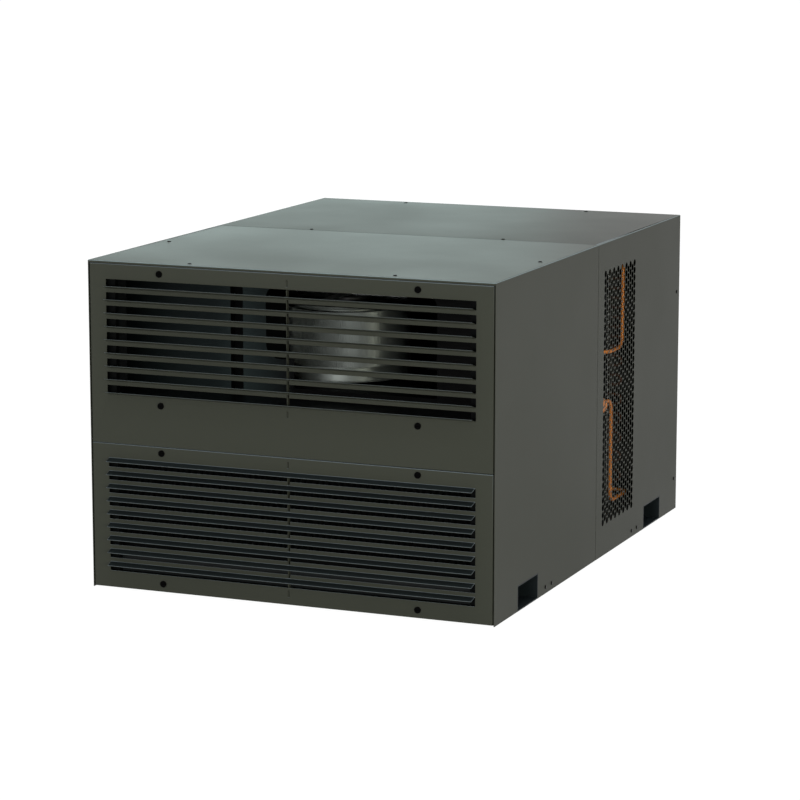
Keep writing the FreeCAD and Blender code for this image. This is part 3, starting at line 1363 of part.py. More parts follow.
def condenser():
    xs = (-cond_w / 2, cond_w / 2)
    ys = (cond_front, cond_front + cond_d)
    zs = (cond_z, cond_z + cond_h)
    coil("condenser", xs, ys, zs, pan_z)
    end = xs[1] + end_t
    out = end + bend_stub + bend_pitch / 2
    span = (cond_in - cond_out) / (bends + 1)
    pieces = []
    for i in range(int(number_of(bends))):
        low = cond_out + span * (i + 1) - bend_pitch / 2
        high = low + bend_pitch
        points = [(end, line_back, low), (out, line_back, low), (out, line_back, high), (end, line_back, high)]
        pieces.append(tube("return_bend_%d" % (i + 1), points, tube_r, bend_pitch / 2))
    keep(group("condenser_bends", pieces), "condenser_bends")


def condenser_fan():
    """A hub with twisted blades; its own Z axis is the fan axis, blowing to the rear."""
    body = new_body("condenser_fan")
    body.Placement = Placement(Vector(), TURNS["Y"])
    place(body, 0, fan_axis_y, fan_z)
    hub = sketch_on(body, "hub_ring", "XY", -hub_h / 2)
    circle(hub, 0, 0, hub_r)
    pad(body, "hub_block", hub, "XY", hub_h)
    spindle = sketch_on(body, "spindle_ring", "XY", -hub_h / 2)
    circle(spindle, 0, 0, fan_shaft_r)
    pad(body, "spindle", spindle, "XY", fan_motor_l / 2, toward=-1)
    sections = []
    for word, at, chord, pitch_angle in (("root", hub_r * 0.9, fan_chord * 0.55, 38),
                                         ("middle", (hub_r + fan_r) / 2, fan_chord, 27),
                                         ("tip", fan_r * 0.94, fan_chord_tip, 17)):
        section = sketch_on(body, "blade_" + word, "YZ", at)
        cos_a = math.cos(math.radians(pitch_angle))
        sin_a = math.sin(math.radians(pitch_angle))
        corners = []
        for along, off in ((-0.5, 0), (0.5, 0), (0.5, 1), (-0.5, 1)):
            corners.append((chord * (along * cos_a) - fan_t * (off * sin_a),
                            chord * (along * sin_a) + fan_t * (off * cos_a)))
        polygon(section, corners)
        sections.append(section)
    blade = body.newObject("PartDesign::AdditiveLoft", "fan_blade")
    blade.Profile = sections[0]
    blade.Sections = sections[1:]
    blade.Ruled = True
    doc.recompute()
    ring = body.newObject("PartDesign::PolarPattern", "fan_blades")
    ring.Originals = [blade]
    ring.Axis = (hub, ["N_Axis"])
    ring.Angle = 360
    bind(ring, "Occurrences", fan_blades)
    body.Tip = ring
    keep(body, "condenser_fan")

    motor_back = fan_axis_y - hub_h / 2 - gap * 10
    motor_front = motor_back - fan_motor_l
    case = rod("fan_motor_case", "Y", (0, motor_front, fan_z), fan_motor_r, fan_motor_l)
    bore = rod("fan_motor_bore", "Y", (0, motor_front + fan_motor_l * 0.4, fan_z),
               fan_shaft_r + gap, fan_motor_l * 0.6)
    keep(cut("condenser_fan_motor", case, [bore]), "condenser_fan_motor")

    plate_y1 = rear_face - wire * 2
    plate_y0 = plate_y1 - sheet_t
    w = shroud_w / 2
    bore_r = fan_r + fan_gap
    plate = box("shroud_plate", (-w, w), (plate_y0, plate_y1), (fan_z - w, fan_z + w))
    ring_out = rod("shroud_ring", "Y", (0, plate_y0 - collar, fan_z), bore_r + sheet_t, collar)
    ring_in = rod("shroud_bore", "Y", (0, plate_y0 - collar, fan_z), bore_r, collar + sheet_t)
    shell = cut("shroud_shell", fuse("shroud_solid", [plate, ring_out]), [ring_in])
    arms = []
    arm_in = bore_r + arm_w / 2
    ys = (motor_front - arm_t, motor_front)
    half_w = arm_w / 2
    arms.append(box("fan_arm_level", (-arm_in, arm_in), ys, (fan_z - half_w, fan_z + half_w)))
    arms.append(box("fan_arm_upright", (-half_w, half_w), ys, (fan_z - arm_in, fan_z + arm_in)))
    for sign in (-1, 1):
        low, high = sorted((arm_in * sign, (arm_in - arm_t) * sign), key=number_of)
        legs = (ys[0], plate_y0)
        arms.append(box("fan_leg_x%d" % (sign + 2), (low, high), legs, (fan_z - half_w, fan_z + half_w)))
        arms.append(box("fan_leg_z%d" % (sign + 2), (-half_w, half_w), legs, (fan_z + low, fan_z + high)))
    keep(fuse("condenser_fan_shroud", [shell] + arms), "condenser_fan_shroud")

    guard = []
    count = int(number_of(wires))
    for i in range(count):
        offset = wire_pitch * (i - (count - 1) / 2)
        across = (offset - wire / 2, offset + wire / 2)
        heights = (fan_z + offset - wire / 2, fan_z + offset + wire / 2)
        guard.append(box("upright_wire_%d" % (i + 1), across, (plate_y1, plate_y1 + wire),
                         (fan_z - w, fan_z + w)))
        guard.append(box("level_wire_%d" % (i + 1), (-w, w), (plate_y1 + wire, rear_face), heights))
    keep(group("rear_fan_guard", guard), "rear_fan_guard")


def electrical_box():
    """A tray on the bulkhead, open to the rear, with its lid and the contactor inside."""
    xs = (-ebox_x - ebox_w, -ebox_x)
    y0 = bulk_y + sheet_t
    y1 = y0 + ebox_d
    zs = (ebox_z, ebox_z + ebox_h)
    hollow = ((xs[0] + sheet_t, xs[1] - sheet_t), (y0 + sheet_t, y1), (zs[0] + sheet_t, zs[1] - sheet_t))
    tray = cut("electrical_box", box("box_block", xs, (y0, y1), zs), [box("box_hollow", *hollow)])
    keep(tray, "electrical_box")
    rim = sheet_t + gap
    high = (zs[0] - rim, zs[1] + rim)
    lid = [
        box("lid_face", (xs[0] - rim, xs[1] + rim), (y1, y1 + sheet_t), high),
        box("lid_left", (xs[0] - rim, xs[0] - gap), (y1 - panel_fold, y1), high),
        box("lid_right", (xs[1] + gap, xs[1] + rim), (y1 - panel_fold, y1), high),
    ]
    keep(fuse("electrical_box_lid", lid), "electrical_box_lid")
    middle = -ebox_x - ebox_w / 2
    start = y0 + sheet_t
    base_z = zs[0] + ebox_h / 2
    wide = (middle - contact_w / 2, middle + contact_w / 2)
    low_step = box("contactor_base", wide, (start, start + contact_d * 0.6), (base_z, base_z + contact_h))
    tall_step = box("contactor_head", wide, (start, start + contact_d),
                    (base_z + contact_h / 4, base_z + contact_h * 0.75))
    keep(fuse("contactor", [low_step, tall_step]), "contactor")


fork_tube("fork_tube_front", pocket_front)
fork_tube("fork_tube_rear", pocket_rear)
base_frame()
base_pan()
front_frame()
front_panels()
for number, (stud_at_x, stud_at_z) in enumerate(FASTENERS):
    quarter_turn(number + 1, stud_at_x, stud_at_z)
receptacles()
side_sheets()
covers()
rear_panel()
cable_gland()
casing_screws()
section_bulkhead()
insulation_liner()
plenum()
return_filter()
blower_housing()
blower_wheel()
blower_motor()
evaporator()
compressor()
accumulator()
refrigerant_lines()
condenser()
condenser_fan()
electrical_box()

doc.recompute()
faults = []
for item in doc.Objects:
    if any(word in ("Invalid", "Error") for word in item.State):
        faults.append("%s: %s" % (item.Label, item.State))
for piece in nodes:
    if piece.Shape.isNull() or not piece.Shape.isValid():
        faults.append("%s: no valid shape" % piece.Label)
if faults:
    raise RuntimeError("; ".join(faults))

os.makedirs("parts", exist_ok=True)
for piece in nodes:
    piece.Shape.exportStep(os.path.join("parts", piece.Label + ".step"))
print("%d nodes written" % len(nodes))
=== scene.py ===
import json
import math

import bmesh
import bpy
import numpy as np
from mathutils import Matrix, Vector
from mathutils.geometry import delaunay_2d_cdt


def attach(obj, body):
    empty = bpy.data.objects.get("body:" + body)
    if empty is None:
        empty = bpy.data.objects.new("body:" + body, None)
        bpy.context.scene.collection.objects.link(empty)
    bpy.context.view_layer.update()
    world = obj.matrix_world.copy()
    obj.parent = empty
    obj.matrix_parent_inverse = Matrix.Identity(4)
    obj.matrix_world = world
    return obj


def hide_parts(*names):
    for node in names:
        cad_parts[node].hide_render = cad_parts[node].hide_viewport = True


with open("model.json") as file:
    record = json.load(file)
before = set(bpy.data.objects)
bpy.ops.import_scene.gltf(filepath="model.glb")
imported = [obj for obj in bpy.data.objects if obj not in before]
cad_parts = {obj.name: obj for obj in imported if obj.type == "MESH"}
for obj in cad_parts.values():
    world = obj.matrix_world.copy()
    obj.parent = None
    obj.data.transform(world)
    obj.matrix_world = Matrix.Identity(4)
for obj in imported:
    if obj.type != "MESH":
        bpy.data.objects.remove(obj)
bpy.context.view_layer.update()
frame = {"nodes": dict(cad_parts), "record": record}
nodes = frame["nodes"]
mm = 0.001
rightward, rearward, upward = (1, 0, 0), (0, 1, 0), (0, 0, 1)
print("frame: %d nodes" % len(nodes))


def metres(lengths, **others):
    # one piece's values: lengths are written in millimetres, and the others stay as they are
    return {**{key: np.multiply(value, mm) for key, value in lengths.items()}, **others}


def picked(values, names):
    return (values[name] for name in names.split())


# Finishes. Every pattern reads Object coordinates, and a value that is the same all over
# stands on the shader's own socket.


def linearTone(red, green, blue):
    # an 8-bit display colour as the shader's linear colour
    tone = np.array((red, green, blue)) / 255
    linear = np.where(tone > 0.04045, ((tone + 0.055) / 1.055) ** 2.4, tone / 12.92)
    return (*linear, 1)


def lookOf(name, colour, second, rough, wide, grain, strength, depth, **more):
    return {"name": name, "colour": linearTone(*colour), "second": linearTone(*second), "rough": rough,
            "wide": wide, "grain": grain, "strength": strength, "depth": depth, **more}


# slot: its finish's name, colour and second colour, least and most roughness, scale of the wide pattern,
# then scale, strength and depth of the fine one, and what else it has
finishes = {
    "painted_sheet": lookOf("oliveGreyPowderCoat", (56, 58, 51), (59, 61, 54), (0.36, 0.42), 2.5, 420, 0.12, 0.0004,
        specular=0.05),
    "painted_frame": lookOf("blueBlackFramePaint", (15, 18, 19), (20, 24, 25), (0.4, 0.55), 6, 500, 0.15, 0.0004,
        specular=0.15),
    "inner_coat": lookOf("blueGreyInnerCoat", (36, 44, 45), (42, 51, 52), (0.3, 0.42), 7, 450, 0.12, 0.0004,
        specular=0.35),
    "wheel_steel": lookOf("satinWheelSteel", (116, 121, 116), (98, 104, 101), (0.32, 0.46), 16, 60, 0.1, 0.0005,
        metallic=0.65, stretch=(1, 1, 0.12)),
    "galvanised": lookOf("galvanisedSheet", (160, 164, 164), (184, 187, 187), (0.32, 0.5), 70, 300, 0.1, 0.0003,
        metallic=1.0, crystals=True, spread=(0.0, 1.0), detail=2.0),
    "fastener_black": lookOf("blackFastener", (2, 2, 2), (4, 4, 4), (0.5, 0.65), 60, 1500, 0.2, 0.0002,
        specular=0.02),
    "screw_black": lookOf("blackenedScrew", (5, 5, 5), (9, 9, 9), (0.35, 0.5), 80, 1400, 0.2, 0.0002,
        metallic=0.6, specular=0.05),
    "copper": lookOf("dulledCopper", (206, 128, 42), (176, 98, 26), (0.34, 0.5), 14, 260, 0.15, 0.0003,
        metallic=0.35),
    "fin_aluminium": lookOf("finAluminium", (196, 200, 202), (168, 172, 175), (0.3, 0.45), 5, 220, 0.2, 0.0004,
        metallic=1.0, stretch=(1, 1, 6)),
    "shell_black": lookOf("glossBlackShell", (14, 14, 15), (22, 22, 23), (0.2, 0.32), 12, 350, 0.12, 0.0004),
    "valve_brass": lookOf("machinedBrass", (206, 176, 100), (176, 142, 76), (0.25, 0.4), 50, 900, 0.15, 0.0002,
        metallic=1.0),
    "liner_foam": lookOf("closedCellFoam", (24, 26, 28), (34, 37, 39), (0.75, 0.9), 8, 260, 0.6, 0.0012,
        specular=0.05),
    "rubber_black": lookOf("mattRubber", (20, 20, 20), (30, 30, 29), (0.6, 0.8), 40, 900, 0.3, 0.0003,
        specular=0.3),
    # the fleece's own dark grey is darkened further as painted shade inside the lower grille
    "filter_fabric": lookOf("filterFleece", (16, 17, 17), (10, 11, 11), (0.85, 0.95), 20, 700, 0.7, 0.0008,
        specular=0.02),
    "moulded_grey": lookOf("greyMoulding", (150, 152, 153), (160, 162, 163), (0.42, 0.52), 30, 1300, 0.25, 0.0002),
    "moulded_black": lookOf("blackMoulding", (19, 19, 20), (27, 27, 28), (0.38, 0.5), 20, 1100, 0.25, 0.0002),
    "motor_black": lookOf("satinBlackMotor", (22, 22, 23), (32, 32, 33), (0.35, 0.5), 25, 500, 0.2, 0.0004),
}


def ownLook(slotName, name, tones=None, **changes):
    # a look that starts from a slot's
    tones = dict(zip(("colour", "second"), (linearTone(*tone) for tone in tones or ())))
    return {**finishes[slotName], "name": name, **tones, **changes}


def shadesOf(*steps):
    return [(place, linearTone(*tone)) for place, tone in steps]


# painted highlight: bends and cut edges that face upwards are paler, as where they catch the light. The louvres'
# upward slopes are darker with painted shade, as in the shadow of the blade above.
edgeHighlightLook = ownLook("painted_sheet", "paleEdgeCoat", light=linearTone(98, 107, 112), rise=(0.12, 0.5))
louvreShadeLook = ownLook("painted_sheet", "darkLouvreSlopes", light=linearTone(29, 34, 35), rise=(0.3, 0.55))
# painted highlight: the covers' rounded edges are paler than their flat tops
coverBendHighlightLook = ownLook("painted_sheet", "paleBendCoverCoat", shades=shadesOf(
    (0.1, (56, 58, 51)), (0.25, (112, 124, 126)), (0.9, (132, 144, 146)), (0.985, (56, 58, 51))))
# painted light and shade: the plate round the blower's mouth is palest beside the mouth, as a painted pool of
# light, and nearly black on its right with painted shade
mouthPlateLightAndShadeLook = ownLook("inner_coat", "shadedMouthPlate", specular=0.08, reach=(-0.46, 0.0), shades=shadesOf(
    (0.0, (13, 18, 18)), (0.45, (29, 37, 38)), (0.6, (47, 57, 58)), (0.72, (35, 43, 44)), (0.86, (13, 16, 17)),
    (0.9, (2, 2, 2))))
# painted shade: the plenum floor is darker than the inner coat it shares
plenumFloorShadeLook = ownLook("inner_coat", "darkFloorCoat", ((9, 12, 13), (13, 17, 18)), specular=0.15)
# painted light: the fork tubes take a paler copy of the frame paint, as if lit inside the fork pockets
forkTubeLitLook = ownLook("painted_frame", "blueGreyTubePaint", ((22, 28, 30), (30, 37, 40)))
# painted shade: the return bends deep in the cabinet are much darker copper
returnBendShadeLook = ownLook("copper", "tarnishedCopper", ((74, 40, 20), (52, 28, 14)), metallic=0.8)
# painted shade: nearly black, for pieces that sit in shade inside the cabinet
paintedShadeLook = lookOf("nearlyBlackCoat", (7, 8, 8), (11, 13, 13), (0.4, 0.5), 4, 420, 0.1, 0.0004, specular=0.03)


def feed(tree, node, inputs):
    # an input takes a value of its own, or a link from another node's output
    for socket, value in inputs.items():
        if isinstance(value, bpy.types.NodeSocket):
            tree.links.new(value, node.inputs[socket])
        else:
            node.inputs[socket].default_value = value


def addNode(tree, kind, inputs, **settings):
    node = tree.nodes.new("ShaderNode" + kind)
    for key, value in settings.items():
        setattr(node, key, value)
    feed(tree, node, inputs)
    return node


def noise(tree, place, scale, detail):
    return addNode(tree, "TexNoise", {"Vector": place, "Scale": scale, "Detail": detail}).outputs["Fac"]


def mixedTone(tree, share, first, second):
    return addNode(tree, "Mix", {"Factor": share, 6: first, 7: second}, data_type="RGBA").outputs[2]


def ranged(tree, value, source, target=(0.0, 1.0)):
    # the value carried from one range to another
    ends = dict(zip(("From Min", "From Max", "To Min", "To Max"), (*source, *target)))
    return addNode(tree, "MapRange", {"Value": value, **ends}).outputs["Result"]


def coordinate(tree, output, letter):
    # one part of the place or of the normal, both in the object's own axes
    source = addNode(tree, "TexCoord", {}).outputs[output]
    return addNode(tree, "SeparateXYZ", {0: source}).outputs[letter]


def coat(look):
    # a wide soft noise, or zinc crystals with a shade each, moves the colour and the roughness, and a fine
    # noise lifts the surface
    material = bpy.data.materials.new(look["name"])
    material.use_nodes = True
    tree = material.node_tree
    shader = tree.nodes["Principled BSDF"]
    feed(tree, shader, {"Base Color": look["colour"], "Metallic": look.get("metallic", 0),
                        "Roughness": look["rough"][0], "Specular IOR Level": look.get("specular", 0.5)})
    place = addNode(tree, "TexCoord", {}).outputs["Object"]
    if look.get("crystals"):
        cells = addNode(tree, "TexVoronoi", {"Vector": place, "Scale": look["wide"], "Randomness": 1.0})
        share = addNode(tree, "SeparateColor", {"Color": cells.outputs["Color"]}).outputs["Red"]
    else:
        share = noise(tree, place, look["wide"], 4.0)
    tone = mixedTone(tree, share, look["colour"], look["second"])
    fine = addNode(tree, "Mapping", {"Vector": place, "Scale": look.get("stretch", (1, 1, 1))})
    grain = noise(tree, fine.outputs["Vector"], look["grain"], look.get("detail", 3.0))
    bump = addNode(tree, "Bump", {"Height": grain, "Strength": look["strength"], "Distance": look["depth"]})
    if "light" in look:
        # upward faces have a tone of their own: a painted highlight on the edges, painted shade on the louvres'
        # slopes
        tone = mixedTone(tree, ranged(tree, coordinate(tree, "Normal", "Z"), look["rise"]), tone, look["light"])
    if "shades" in look:
        # painted light and shade: the colour follows the shades along the piece, or as its faces turn up
        value = (ranged(tree, coordinate(tree, "Object", "X"), look["reach"]) if "reach" in look
                 else coordinate(tree, "Normal", "Z"))
        ramp = addNode(tree, "ValToRGB", {"Fac": value})
        steps = ramp.color_ramp.elements
        for index, (position, shade) in enumerate(look["shades"]):
            step = steps[index] if index < 2 else steps.new(position)
            step.position, step.color = position, shade
        tone = ramp.outputs["Color"]
    rough = ranged(tree, share, look.get("spread", (0.3, 0.7)), look["rough"])
    feed(tree, shader, {"Base Color": tone, "Roughness": rough, "Normal": bump.outputs["Normal"]})
    return material


slotMaterials = {slotName: coat(look) for slotName, look in finishes.items()}
edgeHighlightCoat = coat(edgeHighlightLook)
# pieces that carry painted light and painted shade, apart from the rest of their slot
ownMaterials = {}
for look, pieceNames in (
        (paintedShadeLook, ("frontFrame", "filterTracks", "blowerScroll", "blowerCheeks", "grooveLining")),
        (louvreShadeLook, ("frontUpperPanel", "frontLowerPanel")), (coverBendHighlightLook, ("topFrontCover", "topRearCover")),
        (mouthPlateLightAndShadeLook, ("dischargePlate",)), (plenumFloorShadeLook, ("plenumFloor",)),
        (forkTubeLitLook, ("forkTubeFront", "forkTubeRear")), (returnBendShadeLook, ("condenserBends",))):
    ownMaterials.update(dict.fromkeys(pieceNames, coat(look)))

slotOfNode = {part["node"]: part["material_slot"] for part in frame["record"]["subparts"]}
bodyOfNode = {name: body for body, names in frame["record"]["behaviour"]["bodies"].items() for name in names}
for nodeName, nodeObject in nodes.items():
    nodeObject.data.materials.clear()
    nodeObject.data.materials.append(slotMaterials[slotOfNode[nodeName]])
print("finishes: %d materials" % len(slotMaterials))

# Forms: a form is its points and its quads and triangles, as whole arrays in metres.


def form(points, quads=(), tris=()):
    return {
        "points": np.asarray(points, float).reshape(-1, 3),
        "quads": np.asarray(quads, int).reshape(-1, 4),
        "tris": np.asarray(tris, int).reshape(-1, 3),
    }


def joined(forms):
    # the forms' arrays one after the other, each with its indices moved along
    starts = np.cumsum([0] + [len(one["points"]) for one in forms[:-1]])
    quads, tris = ([one[key] + start for one, start in zip(forms, starts)] for key in ("quads", "tris"))
    return form(np.concatenate([one["points"] for one in forms]), np.concatenate(quads), np.concatenate(tris))


def laid(*parts):
    # coordinates side by side; a single number holds for all the points
    return np.stack(np.broadcast_arrays(*parts), axis=-1)


def gridQuads(rows, columns):
    # one quad between each point of a grid and its neighbours, the last column joined to the first
    row, column = np.meshgrid(np.arange(rows - 1), np.arange(columns), indexing="ij")
    after = (column + 1) % columns
    row, below = row * columns, (row + 1) * columns
    return laid(row + column, row + after, below + after, below + column).reshape(-1, 4)


def capTris(first, count, middle, turned):
    # a fan of triangles from a ring of points to its middle point
    ring = first + np.arange(count)
    after = first + (np.arange(count) + 1) % count
    return laid(ring, after, middle) if turned else laid(after, ring, middle)


def carried(rings):
    # closed rings of points along a path, with a fan at each end: an array of stations x points x 3
    stations, count = rings.shape[:2]
    points = np.concatenate([rings.reshape(-1, 3), rings[:1].mean(axis=1), rings[-1:].mean(axis=1)])
    total = stations * count
    tris = np.concatenate([capTris(0, count, total, False), capTris(total - count, count, total + 1, True)])
    return form(points, gridQuads(stations, count), tris)


def wallForm(near, far, low, high):
    # a wall between two lines in plan, from one level to another
    corners = [laid(*line.T, level) for line, level in ((near, low), (near, high), (far, high), (far, low))]
    return carried(np.stack(corners, axis=1))


def squareTo(plan):
    # unit vectors to the left of a line in plan
    along = np.gradient(plan, axis=0)
    side = laid(-along[:, 1], along[:, 0])
    return side / np.linalg.norm(side, axis=1)[:, None]


def circleOf(count, shift=0.0):
    turn = np.linspace(0, 2 * math.pi, count, endpoint=False) + shift
    return laid(np.cos(turn), np.sin(turn))


def arcPoints(radius, start, end, steps, centre):
    # an arc in plan, from one angle to another in quarter turns
    turn = np.linspace(start, end, steps) * math.pi / 2
    return laid(centre[0] + radius * np.cos(turn), centre[1] + radius * np.sin(turn))


def axes(direction):
    # a direction and two others square to it
    along = np.asarray(direction, float) / np.linalg.norm(direction)
    helper = np.array((0, 0, 1.0)) if abs(along[2]) < 0.7 else np.array((0, 1.0, 0))
    across = np.cross(helper, along)
    across /= np.linalg.norm(across)
    return across, np.cross(along, across), along


def aroundAxis(profile, start, direction, segments):
    # a profile of (radius, height) set in equal steps round an axis: profile points x steps x 3
    across, other, along = axes(direction)
    profile = np.asarray(profile, float)
    ring = circleOf(segments)
    return (np.asarray(start, float) + profile[:, None, :1] * (ring[:, :1] * across + ring[:, 1:] * other)
            + profile[:, None, 1:] * along)


def turnedForm(profile, start, direction, segments=48):
    # an open profile carried round an axis and capped flat
    return carried(aroundAxis(profile, start, direction, segments))


def latheForm(profile, start, direction, segments):
    # a turned form whose profile runs level to the axis at both ends
    profile = np.asarray(profile, float)
    ends = laid(0.001 * mm, profile[[0, -1], 1])
    return turnedForm(np.concatenate([ends[:1], profile, ends[1:]]), start, direction, segments)


def ringForm(profile, start, direction, segments=96):
    # a closed profile carried once round an axis
    rings = aroundAxis(profile, start, direction, segments)
    return form(rings, gridQuads(len(rings) + 1, segments) % (len(rings) * segments))


def rodForm(start, end, radius, segments=16):
    along = np.subtract(end, start)
    return turnedForm([(radius, 0), (radius, float(np.linalg.norm(along)))], start, along, segments)


def roundedProfile(radius, low, high, edge, steps=5):
    # a cylinder's half outline whose two rims are quarter circles
    lower = arcPoints(edge, -1, 0, steps, (radius - edge, low + edge))
    return np.concatenate([lower, arcPoints(edge, 0, 1, steps, (radius - edge, high - edge))])


def blockForm(one, other):
    # a box between two opposite corners
    low, high = np.minimum(one, other), np.maximum(one, other)
    pick = np.array([(0, 0, 0), (1, 0, 0), (1, 1, 0), (0, 1, 0), (0, 0, 1), (1, 0, 1), (1, 1, 1), (0, 1, 1)])
    quads = [(0, 3, 2, 1), (4, 5, 6, 7), (0, 1, 5, 4), (1, 2, 6, 5), (2, 3, 7, 6), (3, 0, 4, 7)]
    return form(low + (high - low) * pick, quads)


def repeated(one, points):
    # the faces of one form on many sets of its points
    steps = (np.arange(len(points)) * len(one["points"]))[:, None, None]
    return form(points, one["quads"][None] + steps, one["tris"][None] + steps)


def copiesOf(one, places):
    # the same form at many places, in one array step
    return repeated(one, one["points"][None] + np.asarray(places, float)[:, None])


def turnedCopies(one, centre, direction, count):
    # the same form turned round an axis in equal steps
    lay = np.stack(axes(direction))
    local = (one["points"] - centre) @ lay.T
    cos, sin = circleOf(count).T[:, :, None]
    x = cos * local[:, 0] - sin * local[:, 1]
    y = sin * local[:, 0] + cos * local[:, 1]
    return repeated(one, laid(x, y, local[:, 2]) @ lay + centre)


def bentPath(corners, bendRadius, steps=10):
    # straight runs between corners, and a circular arc tangent to both runs at each corner
    corners = np.asarray(corners, float)
    stations = [corners[:1]]
    for before, at, after in zip(corners[:-2], corners[1:-1], corners[2:]):
        into = (at - before) / np.linalg.norm(at - before)
        away = (after - at) / np.linalg.norm(after - at)
        turn = math.acos(float(np.clip(into @ away, -1, 1)))
        side = away - into * (into @ away)
        side /= np.linalg.norm(side)
        angle = np.linspace(0, turn, steps)[:, None]
        centre = at - into * bendRadius * math.tan(turn / 2) + side * bendRadius
        stations.append(centre + bendRadius * (into * np.sin(angle) - side * np.cos(angle)))
    return np.concatenate(stations + [corners[-1:]])


def tubeForm(path, radius, segments):
    # a circle carried along a path, its first direction slid on from station to station without twist
    path = np.asarray(path, float)
    path = path[np.concatenate([[True], np.linalg.norm(np.diff(path, axis=0), axis=1) > 1e-6])]
    tangents = np.gradient(path, axis=0)
    tangents /= np.linalg.norm(tangents, axis=1)[:, None]
    across = axes(tangents[0])[0]
    frames = []
    for tangent in tangents:
        across = across - tangent * (across @ tangent)
        across = across / np.linalg.norm(across)
        frames.append((across, np.cross(tangent, across)))
    frames = np.asarray(frames)
    ring = circleOf(segments)
    return carried(path[:, None] + radius * (ring[:, :1] * frames[:, None, 0] + ring[:, 1:] * frames[:, None, 1]))


def plateForm(outline, holes, thick, origin, across=rightward, up=upward, pitDepth=None):
    # a flat plate: outline and convex holes in its plane, triangulated once for each face, with walls between.
    # With a pit depth the holes end at a floor of their own and the far face stays whole.
    loops = [np.asarray(loop, float) for loop in [outline] + list(holes)]
    flat = np.concatenate(loops)
    sizes = [len(loop) for loop in loops]
    starts = np.cumsum([0] + sizes[:-1])
    owner = np.repeat(np.arange(len(loops)), sizes)
    edges = np.concatenate([laid(np.arange(size), (np.arange(size) + 1) % size) + start
                            for size, start in zip(sizes, starts)])

    def triangles(count, edgeList):
        corners = [Vector(point) for point in flat[:count].tolist()]
        found = delaunay_2d_cdt(corners, edgeList.tolist(), [], 1, 1e-9)
        return np.array([face for face in found[2] if len(face) == 3])

    near = triangles(len(flat), edges)
    same = (owner[near[:, 0]] == owner[near[:, 1]]) & (owner[near[:, 1]] == owner[near[:, 2]])
    near = near[~(same & (owner[near[:, 0]] > 0))]
    normal = np.cross(across, up)
    top = np.asarray(origin, float) + flat @ np.array([across, up], float)
    total = len(flat)
    walls = np.concatenate([edges, edges[:, ::-1] + total], axis=1)
    if pitDepth is None:
        return form(np.concatenate([top, top - normal * thick]), walls,
                    np.concatenate([near, near[:, ::-1] + total]))
    bottom = top - normal * np.where(owner == 0, thick, pitDepth)[:, None]
    far = triangles(sizes[0], edges[:sizes[0]])[:, ::-1] + total
    pits = range(1, len(loops))
    middles = [bottom[starts[pit]:starts[pit] + sizes[pit]].mean(axis=0) for pit in pits]
    floors = [capTris(total + starts[pit], sizes[pit], 2 * total + pit - 1, True) for pit in pits]
    return form(np.concatenate([top, bottom, middles]), walls, np.concatenate([near, far] + floors))


def roundedRectangle(low, high, radius):
    # four quarter circles joined by straight sides
    middles = [(high[0] - radius, high[1] - radius), (low[0] + radius, high[1] - radius),
               (low[0] + radius, low[1] + radius), (high[0] - radius, low[1] + radius)]
    return np.concatenate([arcPoints(radius, quarter, quarter + 1, 8, middle)
                           for quarter, middle in enumerate(middles)])


# Pieces: each one stands for its CAD node, on that node's body and in its slot. Bevels are in millimetres.


def camelName(node):
    first, *others = node.split("_")
    return first + "".join(word.capitalize() for word in others)


def placed(name, data):
    made = bpy.data.objects.new(name, data)
    bpy.context.scene.collection.objects.link(made)
    return made


def pointsOf(mesh):
    points = np.empty(len(mesh.vertices) * 3)
    mesh.vertices.foreach_get("co", points)
    return points.reshape(-1, 3)


def roundEdges(piece, name, width, segments, method, clamp, material):
    rounding = piece.modifiers.new(name, "BEVEL")
    rounding.width = width * mm
    rounding.segments = segments
    rounding.limit_method = method
    rounding.use_clamp_overlap = clamp
    rounding.harden_normals = True
    rounding.material = material
    return rounding


def finished(name, mesh, node, slotName, smooth, bevel, bevelAngle, bend=None):
    slotName = slotName or slotOfNode[node]
    piece = placed(name, mesh)
    mesh.materials.clear()
    mesh.materials.append(ownMaterials.get(name) or slotMaterials[slotName])
    mesh.polygons.foreach_set("use_smooth", np.ones(len(mesh.polygons), bool))
    mesh.set_sharp_from_angle(angle=math.radians(smooth))
    if bend:
        # the marked edges are the sheet's own bends, rounded before the rest
        # the rounded faces of the bends take the painted edge highlight
        mesh.materials.append(edgeHighlightCoat)
        roundEdges(piece, "folding", bend, 3, "WEIGHT", True, 1)
    if bevel:
        rounding = roundEdges(piece, "rounding", bevel, 2, "ANGLE", False, 1 if bend else -1)
        rounding.angle_limit = math.radians(bevelAngle)
    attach(piece, bodyOfNode[node])
    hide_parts(node)


def newPiece(node, *forms, name=None, slotName=None, smooth=35, bevel=None, bevelAngle=40):
    # makes one mesh of the forms and turns its faces outwards
    name = name or camelName(node)
    shape = joined(forms)
    mesh = bpy.data.meshes.new(name)
    mesh.from_pydata(shape["points"], [], shape["quads"].tolist() + shape["tris"].tolist())
    work = bmesh.new()
    work.from_mesh(mesh)
    bmesh.ops.recalc_face_normals(work, faces=work.faces)
    work.to_mesh(mesh)
    work.free()
    mesh.validate()
    finished(name, mesh, node, slotName, smooth, bevel, bevelAngle)


